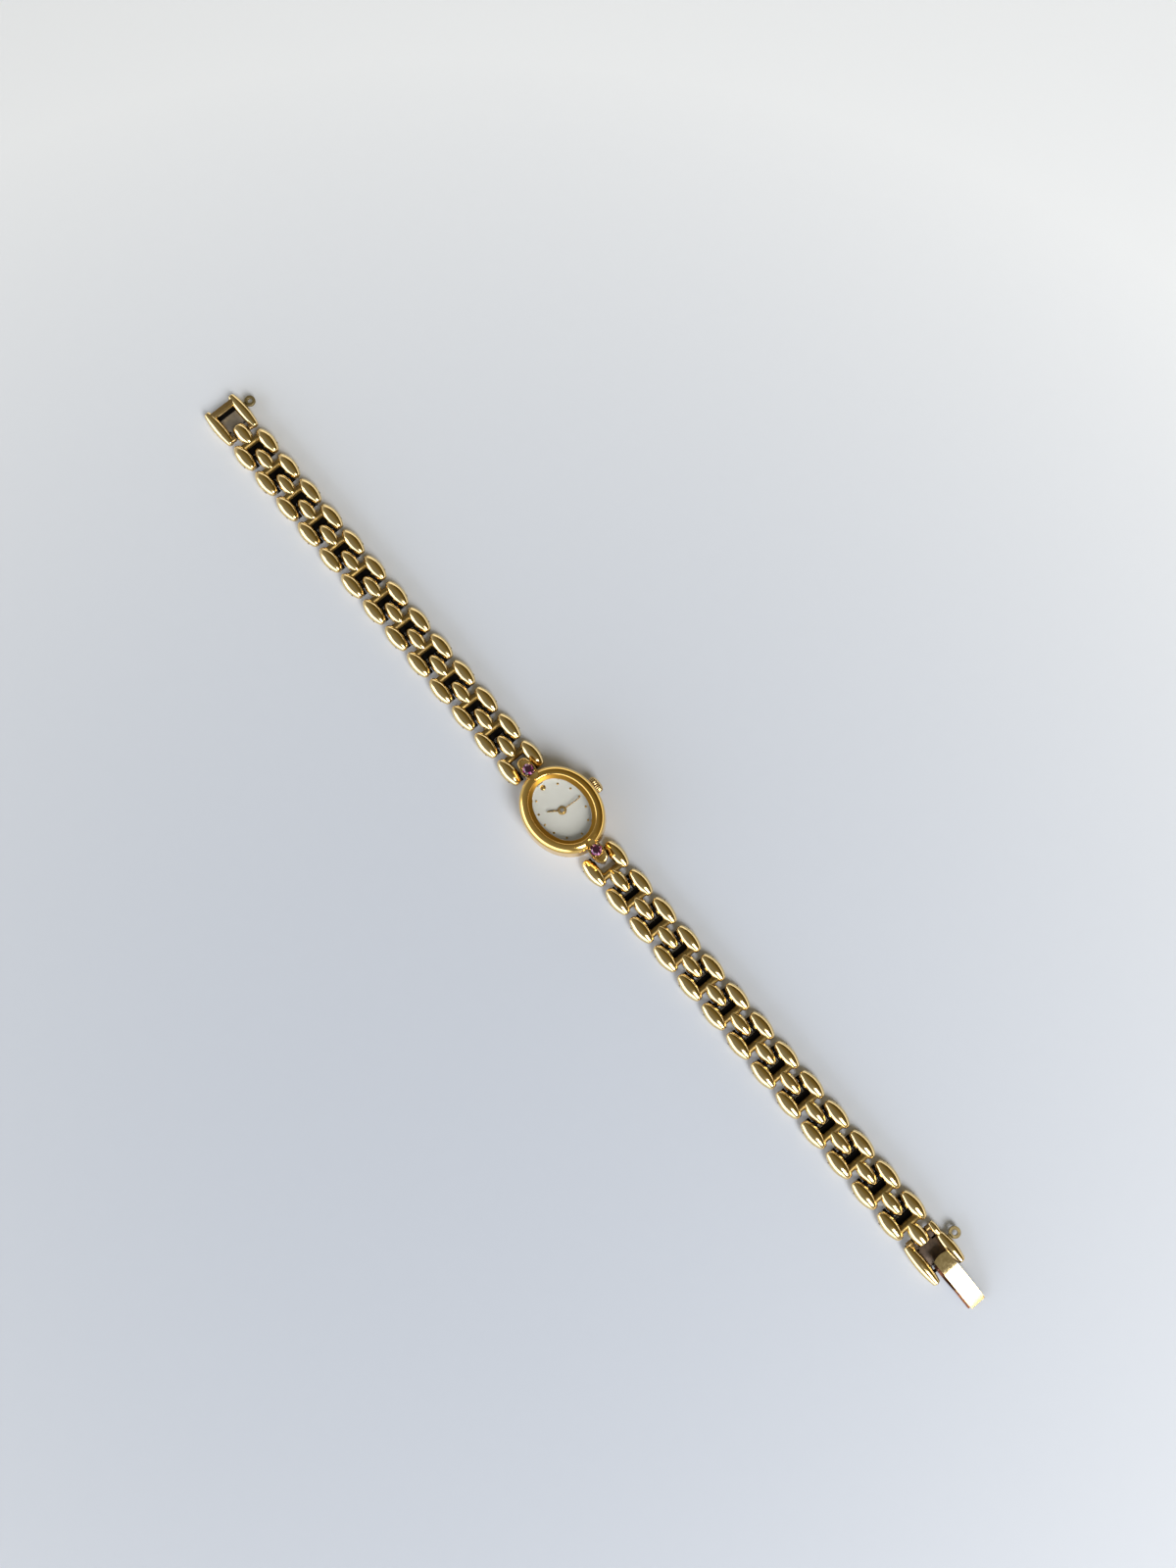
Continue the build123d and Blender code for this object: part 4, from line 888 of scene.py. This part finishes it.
tongue_shape = bmesh.new()
solder(tongue_shape, leaf(top_stations, -1.65, 0.95, 0.26, rear_bow=0.3))
# The lower leaf and its roll get the red-brown painted shade under the top leaf.
solder(tongue_shape, leaf(low_stations, -1.3, 1.3, 0.24), finish=1)
solder(tongue_shape, rod(0.5, 2.6), at(0, tongue_pin, frame_axis), 1)
bmesh.ops.transform(tongue_shape, matrix=hook_place, verts=tongue_shape.verts)
tongue_finishes = (tongue_gold, leaf_shade)
set_out("tongue", tongue_shape, "hook_tongue", tongue_finishes, ("hook_tongue",), 35)
print("Tongue folded")

# %% [markdown]
# ## The dial and the crystal
# The dial is silvery white lacquer with a very fine grain and painted shade towards its rim. The
# crystal is flat glass. A Principled glass would put the dial in the dark, because lamps are found
# through it only by luck, so the material is mixed with a Transparent shader for the rays that look
# for lamps.

# %% Paint the dial and the crystal
dial_half_width, dial_half_length = 4.6, 5.8


def dial_finish():
    finish = Finish("dial_lacquer")
    across = finish.axis("X")
    along = finish.axis("Y")
    # Painted shade: the lacquer turns darker towards the rim.
    rim = ((across / dial_half_width) ** 2.0 + (along / dial_half_length) ** 2.0) ** 0.5
    grain = finish.noise(16.0, 3.0)
    tone = finish.blend(rim.above(0.95, 0.25) * 0.6 + grain * 0.12, (0.47, 0.47, 0.43), (0.36, 0.36, 0.33))
    return finish.surface(
        base_color=tone, metallic=0.12, roughness=grain * 0.1 + 0.34, normal=finish.bump(grain, 0.0008),
        coat_weight=0.25, coat_roughness=0.15,
    )


def crystal_finish():
    finish = Finish("mineral_glass")
    wiped = finish.noise(0.7, 4.0, stretch=(1.0, 0.5, 1.0))
    finish.surface(
        base_color=(1.0, 1.0, 1.0, 1.0), roughness=wiped.above(0.62, 0.1) * 0.02, ior=1.5,
        transmission_weight=1.0,
    )
    lamp_ray = finish.node("ShaderNodeLightPath", out="Is Shadow Ray")
    clear = finish.node("ShaderNodeBsdfTransparent", {}, {"Color": (0.96, 0.96, 0.96, 1.0)})
    glass = Flow(finish, finish.shader.outputs[0])
    mixed = finish.node("ShaderNodeMixShader", {}, {0: lamp_ray, 1: glass, 2: clear})
    finish.feed(finish.tree.nodes["Material Output"].inputs["Surface"], mixed)
    return finish.owner


dial_lacquer = dial_finish()
mineral_glass = crystal_finish()
print("Dial and crystal painted")

# %% [markdown]
# ## The pieces that keep their CAD shape
# The band, the case back, the stone settings and the whole movement have the right shape already.
# They keep their solids and get finishes, most of them seen only when the watch is turned over or
# taken apart. Modelling them again would gain nothing. A Weld modifier joins their loose triangles
# and an Edge Split keeps the creases sharp. The two settings also get a small Bevel, because a real
# rim always shows a thin line of light.

# %% Finishes for the case back and the movement
def plain_metal(name, light, dark, gloss, stretch=(1.0, 1.0, 1.0)):
    """Grained or plated metal, or brushed metal where the grain is stretched."""
    finish = Finish(name)
    brush = finish.noise(6.0, 4.0, stretch=stretch)
    tone = finish.blend(brush.above(0.5, 0.3), light, dark)
    normal = finish.bump(brush, 0.0015)
    return finish.surface(base_color=tone, metallic=1.0, roughness=brush * 0.12 + gloss, normal=normal)


def soft_plastic(name, light, dark, gloss):
    finish = Finish(name)
    grain = finish.noise(10.0, 4.0)
    tone = finish.blend(grain, light, dark)
    return finish.surface(base_color=tone, roughness=grain * 0.15 + gloss, normal=finish.bump(grain, 0.002))


def wound_copper():
    finish = Finish("copper_winding")
    values = {"Vector": finish.spot(), "Scale": 3.2}
    turns = finish.node("ShaderNodeTexWave", {"bands_direction": "X"}, values)
    tone = finish.blend(turns, (0.22, 0.07, 0.02), (0.62, 0.24, 0.08))
    normal = finish.bump(turns, 0.02)
    return finish.surface(base_color=tone, metallic=0.7, roughness=turns * -0.1 + 0.4, normal=normal)


along_x, along_y = (0.15, 1.0, 1.0), (1.0, 0.2, 1.0)
steel_back = plain_metal("steel_back", (0.62, 0.60, 0.56), (0.50, 0.48, 0.45), 0.28, along_x)
movement_brass = plain_metal("movement_brass", (0.70, 0.55, 0.26), (0.58, 0.44, 0.19), 0.34)
movement_steel = plain_metal("movement_steel", (0.60, 0.60, 0.61), (0.48, 0.48, 0.50), 0.25, along_y)
cell_steel = plain_metal("cell_steel", (0.70, 0.70, 0.69), (0.60, 0.60, 0.60), 0.2)
spacer_metal = plain_metal("spacer_metal", (0.80, 0.78, 0.72), (0.66, 0.62, 0.52), 0.12)
nylon = soft_plastic("nylon", (0.82, 0.81, 0.77), (0.72, 0.71, 0.66), 0.4)
rubber = soft_plastic("seal_rubber", (0.03, 0.03, 0.03), (0.05, 0.05, 0.05), 0.6)
board = soft_plastic("board_green", (0.04, 0.24, 0.12), (0.03, 0.17, 0.08), 0.3)
copper = wound_copper()

kept_finishes = {
    "case_middle": bezel_gold, "case_back": steel_back, "crystal": mineral_glass, "dial": dial_lacquer,
    "upper_gem_setting": setting_gold, "lower_gem_setting": setting_gold, "crystal_gasket": nylon,
    "dial_spacer_ring": spacer_metal, "case_back_gasket": rubber, "winding_stem": movement_steel,
    "setting_lever": movement_steel, "main_plate": movement_brass, "movement_ring": nylon,
    "battery_cell": cell_steel, "battery_clamp": movement_steel, "coil": copper, "stator": movement_steel,
    "rotor": movement_steel, "reduction_wheel": movement_brass, "train_bridge": movement_brass,
    "centre_wheel": movement_brass, "cannon_pinion": movement_steel, "hour_wheel": movement_brass,
    "minute_wheel": movement_brass, "circuit_board": board,
}
for node_name, finish in kept_finishes.items():
    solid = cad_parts[node_name]
    solid.data.materials.clear()
    solid.data.materials.append(finish)
    solid.data.shade_smooth()
    weld = solid.modifiers.new("weld", "WELD")
    weld.merge_threshold = 0.001 * mm
    if node_name.endswith("setting"):
        rims = solid.modifiers.new("broken_rims", "BEVEL")
        rims.width = 0.06 * mm
        rims.segments = 2
        rims.limit_method = "ANGLE"
        rims.angle_limit = math.radians(50)
    split = solid.modifiers.new("creases", "EDGE_SPLIT")
    split.split_angle = math.radians(28)
print("CAD pieces with a finish:", len(kept_finishes))

# %% [markdown]
# ## The table, the light and the camera
# The watch lies on a pale table that is blue-grey in front and nearly white behind. Its tone is
# painted in its colour, by distance, because a stronger lamp would burn out the gold.

# %% Lay the table
table_below = -0.00003


def table_finish():
    finish = Finish("table_top")
    across = finish.axis("X")
    along = finish.axis("Y")
    grain_of_table = finish.noise(0.35, 4.0)
    far = across * across * 0.00002 + along * along * 0.000019
    slope = across * 0.0021 + along * 0.0015
    share = far + slope + 0.317 + grain_of_table * 0.02
    tone = finish.blend(share, (0.45, 0.497, 0.59), (0.965, 0.98, 0.995))
    return finish.surface(base_color=tone, roughness=0.6, ior_level=0.25)


table_shape = bmesh.new()
bmesh.ops.create_grid(table_shape, x_segments=2, y_segments=2, size=1.5)
bmesh.ops.translate(table_shape, vec=(0.0, 0.0, table_below), verts=table_shape.verts)
table_mesh = bpy.data.meshes.new("table_top")
table_shape.to_mesh(table_mesh)
table_shape.free()
table_mesh.materials.append(table_finish())
table_top = bpy.data.objects.new("table_top", table_mesh)
bpy.context.scene.collection.objects.link(table_top)
print("Table laid")

# %% [markdown]
# Polished gold shows the room, so the room matters more than the lamp. The ceiling is dim and
# warmer towards the crown. A long low window away from the crown gives each bead its white streak,
# pale low walls light its flanks, and a darker shelf on the crown's side keeps that flank deep. One
# soft lamp beyond the 6 o'clock end makes the bright tips, the tongue's glare and the shadows. The
# camera sees a plain pale backdrop instead.

# %% Light the room
lamp_place = Vector((-0.08, -0.67, 0.67))
end_window = bpy.data.lights.new("end_window", "AREA")
end_window.shape = "RECTANGLE"
end_window.size, end_window.size_y = 0.36, 0.56
end_window.energy = 7.4
end_window.color = (0.98, 0.98, 0.98)
lamp = bpy.data.objects.new("end_window", end_window)
lamp.location = lamp_place
lamp.rotation_mode = "QUATERNION"
lamp.rotation_quaternion = (-lamp_place).to_track_quat("-Z", "Y")
lamp.visible_camera = False
bpy.context.scene.collection.objects.link(lamp)

world = bpy.data.worlds.new("room")
bpy.context.scene.world = world
room = Finish("room", world)
direction = room.node("ShaderNodeTexCoord", out="Generated")
parts = room.node("ShaderNodeSeparateXYZ", {}, {0: direction}).socket.node.outputs
toward_crown, toward_noon, up = (Flow(room, parts[axis]) for axis in "XYZ")
low_window = (toward_crown * -1.0).above(0.62, 0.08) * (1 - up.above(0.55, 0.04))
low_wall = 1 - (up - toward_noon.above(0.55, 0.25) * 0.15).above(0.2, 0.05)
shelf = toward_crown.above(0.5, 0.15) * up.above(0.28, 0.04) * (1 - up.above(0.66, 0.12))
low_glow = toward_crown.above(0.3, 0.3) * 0.95 + 0.3
level = (toward_crown * -0.09 + 0.21 + low_window * 2.5 + low_wall * low_glow) * (1 - shelf * 0.45)
ceiling_tint = room.blend(toward_crown.above(0.1, 0.7), (1.0, 1.0, 0.95), (1.0, 0.76, 0.25))
wall_tint = room.blend(low_wall, ceiling_tint, (1.0, 0.97, 0.92))
tint = room.blend(low_window, wall_tint, (0.92, 1.0, 1.14))
seen = room.node("ShaderNodeLightPath", out="Is Camera Ray")
sky = room.node("ShaderNodeBackground", {}, {"Color": tint, "Strength": level})
backdrop = room.node("ShaderNodeBackground", {}, {"Color": (0.72, 0.75, 0.80, 1.0), "Strength": 1.0})
mixed = room.node("ShaderNodeMixShader", {}, {0: seen, 1: sky, 2: backdrop})
room.feed(room.tree.nodes["World Output"].inputs["Surface"], mixed)
bpy.context.scene.view_settings.view_transform = "Standard"
print("Room lit")

# %% [markdown]
# The camera stands about 21 cm above the table, a little towards 6 o'clock and away from the crown,
# and is rolled by 40 degrees, so that the bracelet runs from the upper left of the picture to the
# lower right. A camera can be aimed by eye, but this one was solved from the evenly spaced links.
# So its lens is given in pixels of a picture that is 1600 high, and turned into millimetres here.

# %% Set up the camera
lens_pixels = 1379.0
picture_height = 1600.0
eye = bpy.data.cameras.new("camera")
eye.sensor_width = 36.0
eye.lens = lens_pixels * eye.sensor_width / picture_height
eye.clip_start = 0.01
camera = bpy.data.objects.new("camera", eye)
tilt, lean, roll = (math.radians(angle) for angle in (9.741, 0.572, -39.899))
camera.rotation_euler = (tilt, lean, roll)
watch_to_eye = Vector((3.982 * mm, 4.772 * mm, 214.37 * mm))
camera.location = camera.rotation_euler.to_matrix() @ watch_to_eye
bpy.context.scene.collection.objects.link(camera)
bpy.context.scene.camera = camera
print("Camera at", [round(c / mm, 1) for c in camera.location], "mm, lens", round(eye.lens, 2), "mm")
